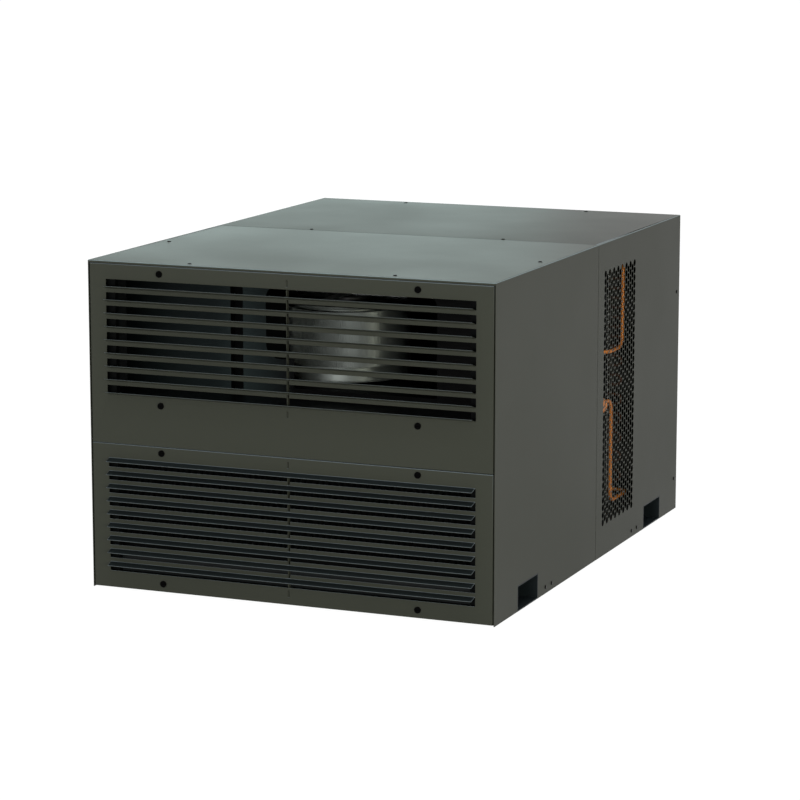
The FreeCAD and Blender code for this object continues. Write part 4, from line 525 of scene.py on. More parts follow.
def foldedPiece(node, bevel, bend=None):
    # a copy of a CAD node, merged, with its flat faces joined up and its edges rounded. A bend gives a radius
    # and a plane (axis, value): the edges round the outline of the face in that plane are the sheet's bends.
    mesh = nodes[node].data.copy()
    mesh.name = camelName(node)
    work = bmesh.new()
    work.from_mesh(mesh)
    bmesh.ops.remove_doubles(work, verts=work.verts, dist=2e-6)
    bmesh.ops.dissolve_limit(work, angle_limit=math.radians(1), verts=work.verts, edges=work.edges)
    work.to_mesh(mesh)
    work.free()
    if bend:
        axis, level = bend[1:]
        near = 1e-5
        points = pointsOf(mesh)
        inPlane = np.abs(points[:, axis] - level) < near
        low, high = points[inPlane].min(axis=0), points[inPlane].max(axis=0)
        onRim = inPlane[:, None] & ((np.abs(points - low) < near) | (np.abs(points - high) < near))
        onRim[:, axis] = False
        edges = np.empty(len(mesh.edges) * 2, dtype=np.int32)
        mesh.edges.foreach_get("vertices", edges)
        first, second = edges.reshape(-1, 2).T
        marked = (onRim[first] & onRim[second] & (np.abs(points[first] - points[second]) < near)).any(axis=1)
        weights = mesh.attributes.new("bevel_weight_edge", "FLOAT", "EDGE")
        weights.data.foreach_set("value", marked.astype(np.float32))
    finished(mesh.name, mesh, node, None, 30, bevel, 40, bend and bend[0])


# Planes of the cabinet, as in the part's source

cabinet = metres({"half": 520, "front": -686, "back": 706, "height": 800, "sheet": 1.5, "shelf": 797,
                  "seamRear": 33.5})

# Sheets, frame and rails: copies of the folded CAD parts with rounded edges

sheetRounding = {
    "front_upper_panel": 0.7, "front_lower_panel": 0.7, "louvre_ribs": 0.8,
    "top_front_cover": 0.35, "top_rear_cover": 0.35, "side_front_left": 0.5, "side_front_right": 0.5,
    "front_frame": 0.5, "fork_tube_front": 0.3, "fork_tube_rear": 0.3, "base_rails": 0.2,
    "base_pan": 0.5, "section_bulkhead": 0.5, "plenum_floor": 0.5, "discharge_plate": 0.5,
    "filter_tracks": 0.4, "stud_receptacles": 0.5, "blower_motor_bracket": 0.9,
    "drain_pan": 0.5, "evaporator_end_plates": 0.5, "condenser_end_plates": 0.5,
    "electrical_box": 0.5, "electrical_box_lid": 0.5, "insulation_liner": 1.5, "expansion_valve": 0.7,
}
# bend radius, and the plane of the face that the bends run round
sheetBends = {"panel": (1.8, 1, cabinet["front"]), "cover": (2.4, 2, cabinet["height"])}
tubeEnds = 510 * mm

for nodeName, width in sheetRounding.items():
    foldedPiece(nodeName, width, sheetBends.get(nodeName.split("_")[-1]))
for pieceName in ("forkTubeFront", "forkTubeRear"):
    # the ends of the tubes lie flush with the side sheets
    mesh = bpy.data.objects[pieceName].data
    points = pointsOf(mesh)
    across = points[:, 0]
    points[:, 0] = np.where(np.abs(across) > tubeEnds, np.sign(across) * cabinet["half"], across)
    mesh.vertices.foreach_set("co", points.ravel())
print("sheets: %d folded pieces" % len(sheetRounding))

# Perforated rear side sheets

inlet = metres({
    "firstColumn": 88, "columnPitch": 16.45, "top": 720, "rowPitch": 19.2, "radius": 8.85, "gauge": 0.6,
    "pocket": (420, 560), "pocketHigh": 63, "flange": 42, "hem": 2,
}, columns=15, rows=34, segments=14)


def perforatedSide(node, name, side):
    column, row = np.meshgrid(np.arange(inlet["columns"]), np.arange(inlet["rows"]), indexing="ij")
    odd = column % 2
    inField = (odd == 0) | (row < inlet["rows"] - 1)
    y = inlet["firstColumn"] + column * inlet["columnPitch"]
    z = inlet["top"] - (row + 0.5 * odd) * inlet["rowPitch"]
    centres = laid(y[inField], z[inField])
    ring = circleOf(inlet["segments"], math.pi / inlet["segments"]) * inlet["radius"]
    start, end, shelf, sheet = picked(cabinet, "seamRear back shelf sheet")
    left, right = inlet["pocket"]
    high = inlet["pocketHigh"]
    outline = [(start, 0), (left, 0), (left, high), (right, high), (right, 0), (end, 0), (end, shelf),
               (start, shelf)]
    skin = plateForm(outline, list(centres[:, None] + ring), inlet["gauge"] * side,
                     (cabinet["half"] * side, 0, 0), rearward)
    inner = (cabinet["half"] - sheet) * side
    flange = blockForm((inner, start, shelf - sheet), (inner - inlet["flange"] * side, end - sheet, shelf))
    hem = blockForm((inner, left, high), (inner - inlet["hem"] * side, right, high + sheet))
    newPiece(node, skin, flange, hem, name=name, bevel=0.25, bevelAngle=60)


perforatedSide("side_rear_right", "perforatedSideRight", 1)
perforatedSide("side_rear_left", "perforatedSideLeft", -1)
print("side inlets: perforated sheets")

# Rear panel with its fan opening, guard and cable gland

rear = metres({
    "inside": 518.5, "low": 3, "face": 704.5, "fanHeight": 425, "opening": 283,
    "gland": (-420, 130), "glandHole": 10, "flangeReach": 44, "flangeLow": 74, "topFlange": 476.2,
    "wire": 1.5, "wirePitch": 40, "guardHalf": 310,
}, wires=14)


def rearPanel():
    w, sheet, shelf, face = rear["inside"], cabinet["sheet"], cabinet["shelf"], rear["face"]
    outline = [(-w, rear["low"]), (w, rear["low"]), (w, shelf), (-w, shelf)]
    fanHole = circleOf(128) * rear["opening"] + (0, rear["fanHeight"])
    glandHole = circleOf(32) * rear["glandHole"] + rear["gland"]
    skin = plateForm(outline, [fanHole, glandHole], sheet, (0, face, 0))
    near, top = face - rear["flangeReach"], shelf - sheet
    flanges = [blockForm((low, near, rear["flangeLow"]), (low + sheet, face, top)) for low in (-w, w - sheet)]
    flanges.append(blockForm((-rear["topFlange"], near, top), (rear["topFlange"], face, shelf)))
    newPiece("rear_panel", skin, *flanges, bevel=0.4, bevelAngle=50)


def fanGuard():
    half, wire = rear["guardHalf"], rear["wire"]
    offsets = rear["wirePitch"] * (np.arange(rear["wires"]) - (rear["wires"] - 1) / 2)
    spots = np.array((0, rear["face"] - 3 * wire, rear["fanHeight"]))
    uprights = copiesOf(rodForm((0, 0, -half), (0, 0, half), wire, 12), spots + np.outer(offsets, rightward))
    levels = copiesOf(rodForm((-half, 0, 0), (half, 0, 0), wire, 12),
                      spots + np.outer(offsets, upward) + (0, 2 * wire, 0))
    newPiece("rear_fan_guard", uprights, levels)


glandLook = metres({
    "nut": 14, "nutHigh": 9, "bore": 6.5, "inside": 20,
    "collar": [(6.5, 0), (10.08, 0), (12.04, 2.4), (12.04, 11), (6.5, 11)],
    "neck": [(6.5, 11), (9.8, 11), (9.8, 21.5), (6.5, 21.5)],
})


def cableGland():
    # a hexagon nut, a ribbed clamp collar and the neck in the panel, round one bore
    x, z = rear["gland"]
    nut, high, bore, inside = picked(glandLook, "nut nutHigh bore inside")
    hexagon = plateForm(circleOf(6) * nut, [circleOf(32) * bore], high, (x, rear["face"] - high, z))
    rings = [ringForm(glandLook[key], (x, rear["face"] - inside, z), rearward, 48) for key in ("collar", "neck")]
    newPiece("cable_gland", *rings, hexagon, bevel=0.4)


rearPanel()
fanGuard()
cableGland()
print("rear: panel, guard and gland")

# Fasteners

quarterTurns = metres({
    "head": 8, "high": 2.6, "lift": 0.3, "slot": (11.2, 1.7), "slotDeep": 1.4,
    "shank": 2.3, "shankLong": 22.9, "pinLong": 12, "pinThick": 2.4,
    "places": [(x, z) for z in (774.5, 458, 342.8, 22.8) for x in (-330, 330)],
}, rim=0.42)


def quarterTurn(node, x, z):
    # a slotted head, a square shank and a cross pin
    face = cabinet["front"] - quarterTurns["lift"]
    slot = np.array([(-1, -1), (1, -1), (1, 1), (-1, 1)]) * quarterTurns["slot"] / 2
    head = plateForm(circleOf(48) * quarterTurns["head"], [slot], quarterTurns["high"],
                     (x, face - quarterTurns["high"], z), pitDepth=quarterTurns["slotDeep"])
    shank, back = quarterTurns["shank"], face + quarterTurns["shankLong"]
    stem = blockForm((x - shank, face, z - shank), (x + shank, back, z + shank))
    reach, radius = quarterTurns["pinLong"] / 2, quarterTurns["pinThick"] / 2
    pin = rodForm((x - reach, back - radius, z), (x + reach, back - radius, z), radius)
    newPiece(node, head, stem, pin, bevel=quarterTurns["rim"])


screw = metres({
    "washer": [(5.3, 0), (5.3, 0.42), (4.876, 0.7)], "hexagon": [(4.3, 0), (4.3, 1.44), (3.44, 1.8)],
    "coverPlaces": [(sign * 262.5, y) for y in (-660, 45, 680) for sign in (-1, 1)]
                   + [(sign * 491, -313.5) for sign in (-1, 1)],
    "sidePlaces": [(-337, 16.2), (-294, 16.2), (366, 16.2), (323, 16.2), (684, 85.4), (684, 595.5)],
})


def screwHead(place, direction):
    # a washer flange with a rounded rim, and a low hexagon with a domed top
    return joined([latheForm(screw[key], place, direction, sides)
                   for key, sides in (("washer", 28), ("hexagon", 6))])


for index, (x, z) in enumerate(quarterTurns["places"]):
    quarterTurn("quarter_turn_%d" % (index + 1), x, z)
heads = [screwHead((x, y, cabinet["height"]), upward) for x, y in screw["coverPlaces"]]
heads += [screwHead((side * cabinet["half"], y, z), (side, 0, 0))
          for side in (-1, 1) for y, z in screw["sidePlaces"]]
newPiece("casing_screws", *heads)
print("fasteners: %d quarter-turns, %d screws" % (len(quarterTurns["places"]), len(heads)))

# Supply blower

blower = metres({
    "axis": (0, -320), "middle": 596, "outer": 149.5, "inner": 124, "gauge": 0.5,
    "bladeLow": 540, "bladeHigh": 673, "skirt": 503, "crown": 689, "crownBand": 9, "crownSwell": 0.9,
    "neck": [(127, 672), (127, 681), (124, 681), (124, 672)], "collarStep": 0.6, "collarLow": 537,
    "flare": 5, "flareTop": 536, "flareEnd": 507, "rimRadius": 2, "rimInset": 1, "skirtWall": 16,
    "disc": [(125.5, -1.5), (125.5, 1.5), (30, 1.5), (26, 12), (16, 14)], "shaft": 7, "shaftTop": 654.5,
    "low": 495, "top": 697, "sheet": 1.5, "inletHole": 128,
    "scrollStart": 172, "scrollEnd": 317, "mouthLeft": 123, "mouthY": -534.5, "motor": 55, "motorHigh": 85,
}, blades=180, exit=83, tongue=235)


def blowerWheel():
    x0, y0 = blower["axis"]
    centre = (x0, y0, 0)
    inner, outer, low, high = picked(blower, "inner outer bladeLow bladeHigh")
    # one blade in plan: it leaves the inner ring square to it and leans over more and more, until at the rim
    # it lies nearly along the circle and reaches past the next blade
    share = np.linspace(0, 1, 11)
    radius = inner + (outer - inner) * share
    lean = np.tan(np.radians(blower["exit"] * share ** 2.2)) * np.gradient(radius) / radius
    angle = np.cumsum(lean) - lean[0]
    plan = laid(x0 + radius * np.cos(angle), y0 + radius * np.sin(angle))
    side = squareTo(plan) * blower["gauge"] / 2
    blades = turnedCopies(wallForm(plan + side, plan - side, low, high), centre, upward, blower["blades"])
    # a crown with two beads above the blades, and below them a collar, a flared skirt and a rolled rim
    crown, band = blower["crown"], blower["crownBand"]
    rise = np.linspace(0, 1, 25)
    beads = laid(outer + blower["crownSwell"] * np.sin(rise * 2 * math.pi) ** 2, crown - band * (1 - rise))
    crownRing = ringForm([*beads, (inner, crown), (inner, crown - band)], centre, upward, 144)
    neck = ringForm(blower["neck"], centre, upward, 144)
    skirt, roll, top, end = picked(blower, "skirt rimRadius flareTop flareEnd")
    fall = np.linspace(0, 1, 15)
    flare = laid(outer - blower["flare"] * (1 - fall ** 1.3), top + (end - top) * fall)
    rim = arcPoints(roll, 1, -1, 9, (outer - blower["rimInset"], skirt + roll))
    collar, back = outer + blower["collarStep"], outer - blower["skirtWall"]
    skirtRing = ringForm([(collar, low), (collar, blower["collarLow"]), *flare, *rim, (back, skirt), (back, low)],
                         centre, upward, 144)
    disc = latheForm(blower["disc"], (x0, y0, blower["middle"]), upward, 96)
    shaft = rodForm((x0, y0, blower["middle"]), (x0, y0, blower["shaftTop"]), blower["shaft"], 24)
    newPiece("blower_wheel", blades, crownRing, neck, skirtRing, disc, shaft)


def blowerHousing():
    # from the mouth's left edge to the tongue, a spiral whose radius grows with its turn, then straight back
    share = np.linspace(0, 1, 97)
    start, end, low, top, sheet = picked(blower, "scrollStart scrollEnd low top sheet")
    reach = start + (end - start) * share
    angle = math.radians(blower["tongue"]) * (1 - share)
    spiral = blower["axis"] + laid(reach * np.cos(angle), reach * np.sin(angle))
    plan = np.array([(-blower["mouthLeft"], blower["mouthY"]), *spiral, (end, blower["mouthY"])])
    out = squareTo(plan)
    out[0], out[-1] = (-1, 0), (1, 0)
    outer = plan + out * sheet
    newPiece("blower_scroll", wallForm(plan, outer, low, top))
    hole = circleOf(96) * blower["inletHole"] + blower["axis"]
    plates = [plateForm(outer[::-1], [hole], sheet, (0, 0, level), up=rearward) for level in (low, top + sheet)]
    newPiece("blower_cheeks", *plates, bevel=0.3, bevelAngle=60)


groove = metres({"middle": -200, "wide": 33, "near": -536, "far": -514, "gauge": 0.8, "low": 472.5, "high": 775,
                 "room": 0.2})


def grooveLining():
    # a black strip of U section in the plate's upright groove, put there as painted shade so the groove reads dark
    half = groove["wide"] / 2 - groove["room"]
    wall, near, far = groove["gauge"], groove["near"], groove["far"] - groove["room"]
    section = [(-half, near), (-half, far), (half, far), (half, near), (half - wall, near),
               (half - wall, far - wall), (wall - half, far - wall), (wall - half, near)]
    flat = np.array(section) + (groove["middle"], 0)
    points = [laid(*flat.T, level) for level in (groove["low"], groove["high"])]
    ends = np.array([(0, 1, 6, 7), (1, 2, 5, 6), (2, 3, 4, 5)])
    newPiece("discharge_plate", form(points, np.concatenate([gridQuads(2, 8), ends, ends[:, ::-1] + 8])),
             name="grooveLining", slotName="rubber_black", bevel=0.3)


motorRibs = metres({"deep": 1.5, "edge": 5, "bore": 7.3}, count=9, start=0.3, share=0.4, boreShare=0.6)


def ribbedMotor(node, start, direction, radius, length):
    # a can with rounded rims, a band of shallow cooling ribs, and a blind shaft bore at its far end
    ribs, bore, boreEnd = motorRibs["count"], motorRibs["bore"], length * (1 - motorRibs["boreShare"])
    along = np.linspace(0, 1, ribs * 4 + 1)
    band = laid(radius - motorRibs["deep"] * (0.5 - 0.5 * np.cos(along * ribs * 2 * math.pi)),
                length * (motorRibs["start"] + motorRibs["share"] * along))
    rim = roundedProfile(radius, 0, length, motorRibs["edge"])
    profile = [*rim[:5], *band, *rim[5:], (bore, length), (bore, boreEnd)]
    newPiece(node, latheForm(profile, start, direction, 72))


blowerWheel()
blowerHousing()
grooveLining()
ribbedMotor("blower_motor", (*blower["axis"], blower["top"] + blower["sheet"]), (0, 0, -1), blower["motor"],
            blower["motorHigh"])
print("blower: wheel, scroll, cheeks and motor")

# Coils, lines, header and return bends

coils = {
    "evaporator_fins": metres({"low": (-430, -576, 116.3), "high": (430, -486, 426.3)}, ranks=4, rows=12),
    "condenser_fins": metres({"low": (-440, 354, 94), "high": (440, 424, 754)}, ranks=2, rows=26),
}
coilLook = metres({"pitch": 3.2, "gauge": 0.35, "scallop": 1.2, "tube": 4.75})


def finPack(node, coil):
    # thin fins in a row, each a plate whose two long edges are scalloped, threaded by level tubes
    low, high, ranks, rows = picked(coil, "low high ranks rows")
    count = int((high[0] - low[0]) / coilLook["pitch"])
    height = np.linspace(low[2], high[2], rows * 2 + 1)
    scallop = coilLook["scallop"] * (np.arange(len(height)) % 2)
    near, far, gauge = low[1] + scallop, high[1] - scallop, coilLook["gauge"] / 2
    edges = [laid(x, y, height) for x, y in ((-gauge, near), (-gauge, far), (gauge, far), (gauge, near))]
    places = np.outer(np.linspace(low[0] + gauge, high[0] - gauge, count), rightward)
    depth, level = np.meshgrid((np.arange(ranks) + 0.5) / ranks, (np.arange(rows) + 0.5) / rows, indexing="ij")
    spots = laid(0, low[1] + (high[1] - low[1]) * depth.ravel(), low[2] + (high[2] - low[2]) * level.ravel())
    tubes = copiesOf(rodForm((low[0], 0, 0), (high[0], 0, 0), coilLook["tube"], 10), spots)
    newPiece(node, copiesOf(carried(np.stack(edges, axis=1)), places), tubes)


# corners of each tube's run, and the places where it enters a fitting, with the way it goes in
lines = {
    "discharge_line": metres({
        "runs": [[(-150, 219, 418), (-150, 219, 500), (485, 219, 500), (485, 329, 500), (485, 329, 720),
                  (485, 389, 720), (442, 389, 720)]],
        "rings": [(442, 389, 720), (-150, 219, 424)], "tube": 4.75,
    }, ways=[(-1, 0, 0), (0, 0, -1)], segments=20),
    "liquid_line": metres({
        "runs": [[(442, 389, 108), (485, 389, 108), (485, 244, 108), (485, 244, 375), (485, 172, 375)]],
        "laterRun": [(485, 77, 375), (485, -554, 375), (454, -554, 375)],
        "rings": [(442, 389, 108), (485, 172, 375), (485, 77, 375), (454, -554, 375)], "tube": 4.75,
    }, ways=[(-1, 0, 0), (0, -1, 0), (0, 1, 0), (-1, 0, 0)], segments=20),
    "suction_line": metres({
        "runs": [[(457, -531, 426.3), (457, -531, 458), (457, 146, 458), (0, 146, 458), (0, 219, 458),
                  (0, 219, 328)]],
        "laterRun": [(-53, 219, 183.3), (-37, 219, 183.3)],
        "rings": [(457, -531, 426.3), (0, 219, 331)], "tube": 8,
    }, ways=[(0, 0, -1), (0, 0, -1)], segments=24),
}
bendRadius = 26 * mm
solderProfile = np.array([(0, -4), (0.9, -1.5), (1.4, 0), (0, 0)]) * mm  # past the tube's radius, along the tube


def solderRing(at, direction, radius):
    # the brazed fillet where a tube enters a fitting
    return ringForm(solderProfile + (radius, 0), at, direction, 24)


def copperLine(node, line):
    runs = [*line["runs"], line["laterRun"]] if "laterRun" in line else line["runs"]
    shapes = [tubeForm(bentPath(run, bendRadius), line["tube"], line["segments"]) for run in runs]
    shapes += [solderRing(at, way, line["tube"]) for at, way in zip(line["rings"], line["ways"])]
    newPiece(node, *shapes)


header = metres({"at": (457, -531), "low": 136.3, "high": 426.3, "radius": 11, "stubs": (146.3, 281.3, 416.3),
                 "plate": 432, "tube": 4.75, "edge": 4, "seat": 10})


def evaporatorHeader():
    x, y = header["at"]
    body = roundedProfile(header["radius"], 0, header["high"] - header["low"], header["edge"])
    shapes = [turnedForm(body, (x, y, header["low"]), upward, 32)]
    for z in header["stubs"]:
        shapes.append(rodForm((header["plate"], y, z), (x, y, z), header["tube"], 18))
        shapes.append(solderRing((x - header["seat"], y, z), rightward, header["tube"]))
    newPiece("evaporator_header", *shapes)


returnBends = metres({"plate": 442, "depth": 389, "stub": 10, "radius": 12.7, "tube": 4.75, "lowest": 146,
                      "step": 50.8}, count=11)


def condenserBends():
    # a straight stub, a half circle and a stub back, one bend above the other
    plate, depth, radius = picked(returnBends, "plate depth radius")
    arc = arcPoints(radius, -1, 1, 15, (plate + returnBends["stub"], 0))
    loop = np.array([(plate, -radius), *arc, (plate, radius)])
    path = laid(loop[:, 0], depth, loop[:, 1])
    heights = returnBends["lowest"] + returnBends["step"] * np.arange(returnBends["count"])
    newPiece("condenser_bends", copiesOf(tubeForm(path, returnBends["tube"], 16), np.outer(heights, upward)))


drier = metres({
    "at": (485, 77, 375), "long": 95,
    "end": [(7, 0), (7, 3), (15.84, 9.92), (20.68, 14.4), (22, 19.2), (22, 25.6), (20.8, 28), (22, 30.4)],
})


def filterDrier():
    # a spun copper cartridge: cones at both ends and two rolled beads
    end = drier["end"]
    profile = np.concatenate([end, end[::-1] * (1, -1) + (0, drier["long"])])
    newPiece("filter_drier", turnedForm(profile, drier["at"], rearward))


for node, coil in coils.items():
    finPack(node, coil)
for node, line in lines.items():
    copperLine(node, line)
evaporatorHeader()
condenserBends()
filterDrier()
print("refrigerant circuit: coils, lines, header, bends and drier")

# Compressor, accumulator, feet and drain

compressor = metres({
    "at": (-150, 219), "low": 92, "high": 422, "radius": 98, "dome": 48, "crown": (30, 422.2),
    "seam": (97.5, 275.5), "seamBead": 3, "plug": (9, 0, 5, 2), "plugAt": 421,
    "foot": 115, "footGauge": 4, "footCorner": 25, "footBolt": 90, "footHole": 5,
    "terminal": ((-190, 101, 290), (-110, 160, 350)), "footLow": 74,
    "bush": [(15.4, 0), (16, 1), (16, 4), (12.5, 7), (12.5, 11), (16, 14), (16, 17), (15.4, 18)],
})
accumulator = metres({
    "radius": 38, "low": 110, "high": 330, "dome": 22.8, "at": (0, 219, 0),
    "stand": ((-19, 200, 74), (19, 238, 113)), "strap": [(37.6, 205), (39, 205), (39, 221), (37.6, 221)],
})
boltSigns = [(sx, sy) for sx in (-1, 1) for sy in (-1, 1)]


def compressorPieces():
    radius, low, high, dome, bolt = picked(compressor, "radius low high dome footBolt")
    x, y = compressor["at"]
    # straight wall, an elliptic dome at the top, and a low crown on it
    upper = roundedProfile(radius, low, high, dome, 14)[14:]
    shell = latheForm([(radius, low), *upper, compressor["crown"]], (x, y, 0), upward, 96)
    bead = arcPoints(compressor["seamBead"], -1, 1, 9, compressor["seam"])
    seam = ringForm(bead, (x, y, 0), upward)
    plug = turnedForm(roundedProfile(*compressor["plug"]), (x, y, compressor["plugAt"]), upward, 32)
    newPiece("compressor", shell, seam, plug, name="compressorShell")
    w, gauge = compressor["foot"], compressor["footGauge"]
    holes = [circleOf(24) * compressor["footHole"] + (x + sx * bolt, y + sy * bolt) for sx, sy in boltSigns]
    foot = plateForm(roundedRectangle((x - w, y - w), (x + w, y + w), compressor["footCorner"]), holes, gauge,
                     (0, 0, low + gauge), up=rearward)
    newPiece("compressor", foot, name="compressorFootPlate", bevel=0.8)
    newPiece("compressor", blockForm(*compressor["terminal"]), name="compressorTerminalCover",
             slotName="moulded_black", bevel=5)
    # waisted rubber bushes under the foot plate
    bush = latheForm(compressor["bush"], (0, 0, compressor["footLow"]), upward, 40)
    newPiece("compressor_feet", copiesOf(bush, [(x + bolt * sx, y + bolt * sy, 0) for sx, sy in boltSigns]))


def suctionAccumulator():
    # a vessel with a dome at each end, on a stand, held by a strap
    profile = roundedProfile(*picked(accumulator, "radius low high dome"), 14)
    newPiece("suction_accumulator", latheForm(profile, accumulator["at"], upward, 72),
             blockForm(*accumulator["stand"]), ringForm(accumulator["strap"], accumulator["at"], upward, 72))


drain = metres({"at": (340, -571, 0),
                "wall": [(8, 25), (9.5, 25), (9.5, 30), (9.5, 32), (9.5, 34), (9.5, 94), (8, 94)]})

compressorPieces()
suctionAccumulator()
newPiece("drain_pipe", ringForm(drain["wall"], drain["at"], upward, 40))
print("compressor: shell, foot plate, terminal cover, bushes, accumulator and drain")

# Condenser fan, shroud and motor

fan = metres({
    "axis": (0, 644, 425), "hub": (75, -25, 25, 7), "hubWell": [(41.25, 25), (37.5, 21), (18.75, 21), (15, 25)],
    "tip": 271, "root": 69,
    "rootChord": 66, "tipChord": 168, "gauge": 3.2, "camber": 7, "shaft": 7, "shaftNear": -70, "shaftFar": -24,
    "motor": 62, "motorLong": 90, "motorAt": (0, 526, 425),
    "bore": 283, "lip": 9, "sheet": 1.5, "plateNear": 697, "plateFar": 698.5, "plateHalf": 310, "collar": 70,
    "armHalf": 15, "armReach": 298, "armNear": 522, "armFar": 526,
}, blades=6, rootPitch=38, tipPitch=17, sweep=0.16)


def fanWheel():
    # a blade is a grid of span x section: radius grows along the span, the section is a cambered
    # aerofoil laid along its chord, and the chord's angle falls from root to tip
    centre = x0, y0, z0 = fan["axis"]
    span = np.linspace(0, 1, 17)[:, None]
    radius = fan["root"] + (fan["tip"] - fan["root"]) * span
    chord = fan["rootChord"] + (fan["tipChord"] - fan["rootChord"]) * span ** 0.85
    pitch = np.radians(fan["rootPitch"] + (fan["tipPitch"] - fan["rootPitch"]) * span)
    loop = np.linspace(0, 2 * math.pi, 24, endpoint=False)[None]
    along = np.cos(loop) / 2
    thick = np.sin(loop) * fan["gauge"] / 2 * (1.15 - 0.5 * (0.5 - along)) * np.sqrt(np.abs(np.sin(loop)) + 0.05)
    off = thick + fan["camber"] * (1 - (2 * along) ** 2)
    tangential = chord * along * np.cos(pitch) - off * np.sin(pitch)
    axial = chord * along * np.sin(pitch) + off * np.cos(pitch)
    angle = tangential / radius + fan["sweep"] * span ** 1.5
    rings = laid(x0 + radius * np.cos(angle), y0 + axial, z0 - radius * np.sin(angle))
    blades = turnedCopies(carried(rings), centre, rearward, fan["blades"])
    hubForm = latheForm([*roundedProfile(*fan["hub"], 7), *fan["hubWell"]], centre, rearward, 72)
    shaft = rodForm((x0, y0 + fan["shaftNear"], z0), (x0, y0 + fan["shaftFar"], z0), fan["shaft"], 24)
    newPiece("condenser_fan", blades, hubForm, shaft)


def fanShroud():
    # a square plate with a flared collar, and a cross of arms that holds the motor
    z0 = fan["axis"][2]
    half, near, bore, sheet, lip = picked(fan, "plateHalf plateNear bore sheet lip")
    square = [(-half, z0 - half), (half, z0 - half), (half, z0 + half), (-half, z0 + half)]
    plate = plateForm(square, [circleOf(128) * bore + (0, z0)], fan["plateFar"] - near, (0, near, 0))
    start = near - fan["collar"]
    mouth = arcPoints(lip, -1, -2, 7, (bore + lip, start + lip))
    profile = [*mouth, (bore, near), (bore + sheet, near), *(mouth + (sheet, 0))[::-1]]
    collar = ringForm(profile, (0, 0, z0), rearward, 128)
    reach, arm, front, back = picked(fan, "armReach armHalf armNear armFar")
    arms = [blockForm((-reach, front, z0 - arm), (reach, back, z0 + arm))]
    for side in (-1, 1):
        outer, inner = reach * side, (reach + front - back) * side
        arms += [blockForm((-arm, front, z0 + arm * side), (arm, back, z0 + outer)),
                 blockForm((outer, back, z0 - arm), (inner, near, z0 + arm)),
                 blockForm((-arm, back, z0 + outer), (arm, near, z0 + inner))]
    newPiece("condenser_fan_shroud", plate, collar, *arms, bevel=0.4, bevelAngle=60)


fanWheel()
fanShroud()
ribbedMotor("condenser_fan_motor", fan["motorAt"], rearward, fan["motor"], fan["motorLong"])
print("condenser fan: wheel, shroud and motor")

# Return filter and contactor

returnFilterLook = metres({"low": (-480, -638.5, 95.8), "high": (480, -618.5, 468.2), "rim": 1.5, "gauge": 1.4},
                          pleats=60, pleatShare=0.36)


def returnFilter():
    # a folded rim, and a sheet that runs in a rounded zigzag from side to side
    look = returnFilterLook
    rim, pleats = look["rim"], look["pleats"]
    (x0, y0, z0), (x1, y1, z1) = look["low"], look["high"]
    bars = [blockForm((x0, y0, z0), (x1, y1, z0 + rim)), blockForm((x0, y0, z1 - rim), (x1, y1, z1)),
            blockForm((x0, y0, z0 + rim), (x0 + rim, y1, z1 - rim)),
            blockForm((x1 - rim, y0, z0 + rim), (x1, y1, z1 - rim))]
    newPiece("return_filter", *bars, name="filterRim", slotName="painted_frame", bevel=0.4)
    share = np.linspace(0, 1, pleats * 12 + 1)
    wave = np.sin(share * pleats * 2 * math.pi)
    x = x0 + rim + (x1 - x0 - 2 * rim) * share
    near = (y1 + y0) / 2 + (y1 - y0) * look["pleatShare"] * np.sign(wave) * np.abs(wave) ** 0.7
    fleece = wallForm(laid(x, near), laid(x, near + look["gauge"]), z0 + rim, z1 - rim)
    newPiece("return_filter", fleece, name="filterPleats", smooth=60)


contactorLook = metres({
    "wide": (-362.5, -317.5), "start": 62, "base": 36, "deep": 60, "low": 610, "high": 690,
    "screw": 4, "screwHigh": 3, "screwEdge": 0.8, "well": 5.2, "wellDeep": 6,
}, screws=3)


def contactor():
    # a stepped body with a row of terminal screws in wells on each low step
    look = contactorLook
    x0, x1 = look["wide"]
    y0, y1, y2 = look["start"], look["start"] + look["base"], look["start"] + look["deep"]
    z0, z1 = look["low"], look["high"]
    quarter = (z1 - z0) / 4
    spots = x0 + (x1 - x0) * (np.arange(look["screws"]) + 0.5) / look["screws"]
    shapes, heads = [], []
    for low, high in ((z0, z0 + quarter), (z1 - quarter, z1)):
        # the plate's outer face looks to the rear, so it is laid out from right to left
        middle = (low + high) / 2
        wells = [(circleOf(20) * look["well"] + (x, middle)) * (-1, 1) for x in spots]
        outline = [(-x1, low), (-x0, low), (-x0, high), (-x1, high)]
        shapes.append(plateForm(outline, wells, y1 - y0, (0, y1, 0), (-1, 0, 0), pitDepth=look["wellDeep"]))
        heads += [turnedForm(roundedProfile(look["screw"], 0, look["screwHigh"], look["screwEdge"]),
                             (x, y1 - look["wellDeep"], middle), rearward, 20) for x in spots]
    shapes.append(blockForm((x0, y0, z0 + quarter), (x1, y2, z1 - quarter)))
    newPiece("contactor", *shapes, name="contactorBody", bevel=0.8, bevelAngle=60)
    newPiece("contactor", *heads, name="contactorScrews", slotName="valve_brass")


returnFilter()
contactor()
print("filter and contactor")

# Floor, light and camera

stageLook = {"floorTone": 0.86, "shadowShare": 0.12, "glow": 1.1, "ambient": 0.55, "floorHalf": 40.0}


def backgroundRay(tree):
    # 1 for a ray of the camera, of a gloss or of a transmission, else 0
    path = addNode(tree, "LightPath", {}).outputs
    first, second, third = (path["Is %s Ray" % kind] for kind in ("Camera", "Glossy", "Transmission"))
    either = addNode(tree, "Math", {0: first, 1: second}, operation="MAXIMUM").outputs[0]
    return addNode(tree, "Math", {0: either, 1: third}, operation="MAXIMUM").outputs[0]


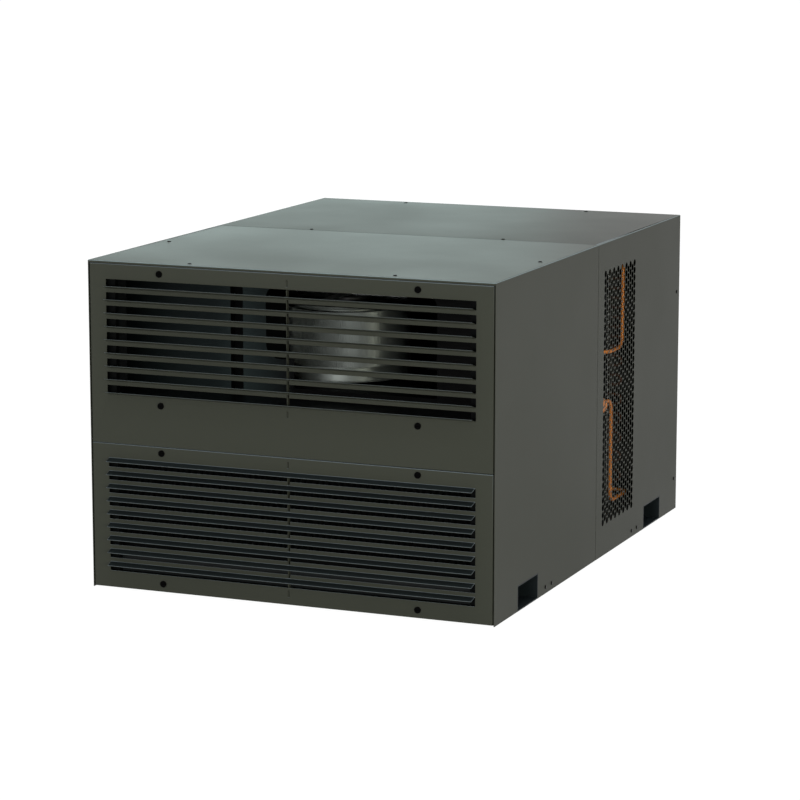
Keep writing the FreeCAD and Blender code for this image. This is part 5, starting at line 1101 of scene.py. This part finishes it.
def studio():
    world = bpy.data.worlds.new("studio")
    bpy.context.scene.world = world
    world.use_nodes = True
    tree = world.node_tree
    strength = ranged(tree, backgroundRay(tree), (0, 1), (stageLook["ambient"], 1))
    feed(tree, tree.nodes["Background"], {"Color": (1, 1, 1, 1), "Strength": strength})

    half, tone = stageLook["floorHalf"], stageLook["floorTone"]
    mesh = bpy.data.meshes.new("floor")
    corners = [(-half, -half, 0), (half, -half, 0), (half, half, 0), (-half, half, 0)]
    mesh.from_pydata(corners, [], [(0, 1, 2, 3)])
    floor = placed("floor", mesh)
    material = bpy.data.materials.new("paleFloor")
    material.use_nodes = True
    tree = material.node_tree
    tree.nodes.remove(tree.nodes["Principled BSDF"])
    matte = addNode(tree, "BsdfDiffuse", {"Color": (tone, tone, tone, 1)})
    glow = addNode(tree, "Emission", {"Color": (1, 1, 1, 1), "Strength": stageLook["glow"]})
    keep = ranged(tree, backgroundRay(tree), (0, 1), (0, 1 - stageLook["shadowShare"]))
    mixed = addNode(tree, "MixShader", {0: keep, 1: matte.outputs[0], 2: glow.outputs[0]})
    feed(tree, tree.nodes["Material Output"], {"Surface": mixed.outputs[0]})
    mesh.materials.append(material)


# name: place, the point it faces, width and height, watts, colour
lamps = {
    "overhead": ((0, -2.4, 6.0), (0, -0.7, 0.6), (7, 0.8), 60, (0.85, 0.95, 1)),
    "front": ((0.4, -8.0, 1.3), (0, 0, 0.4), (3, 1.5), 162, (1, 1, 1)),
    "right": ((5.6, -4.7, 0.9), (0, 0, 0.4), (2.5, 1.4), 140, (1, 0.98, 0.8)),
    "rear": ((-5.3, 7.5, 2.3), (-5.3, 0, 2.3), (6.1, 3), 72, (0.66, 1, 0.95)),
}


def softLamps():
    for name, (place, target, size, power, colour) in lamps.items():
        data = bpy.data.lights.new(name, "AREA")
        data.shape = "RECTANGLE"
        data.size, data.size_y = size
        data.energy = power
        data.color = colour
        lamp = placed(name, data)
        lamp.location = place
        lamp.rotation_euler = (Vector(target) - Vector(place)).to_track_quat("-Z", "Y").to_euler()
        lamp.visible_camera = False


view = {"at": (2.92318, -7.06144, 1.77647), "azimuth": 22.4757, "elevation": 10.3546, "lens": 137.196}


def camera():
    data = bpy.data.cameras.new("camera")
    data.lens = view["lens"]
    data.sensor_width = 36
    data.clip_end = 200
    eye = placed("camera", data)
    eye.location = view["at"]
    eye.rotation_euler = (math.radians(90 - view["elevation"]), 0, math.radians(view["azimuth"]))
    bpy.context.scene.camera = eye


studio()
softLamps()
camera()
bpy.context.scene.view_settings.view_transform = "Standard"
print("stage: floor, lamps and camera")
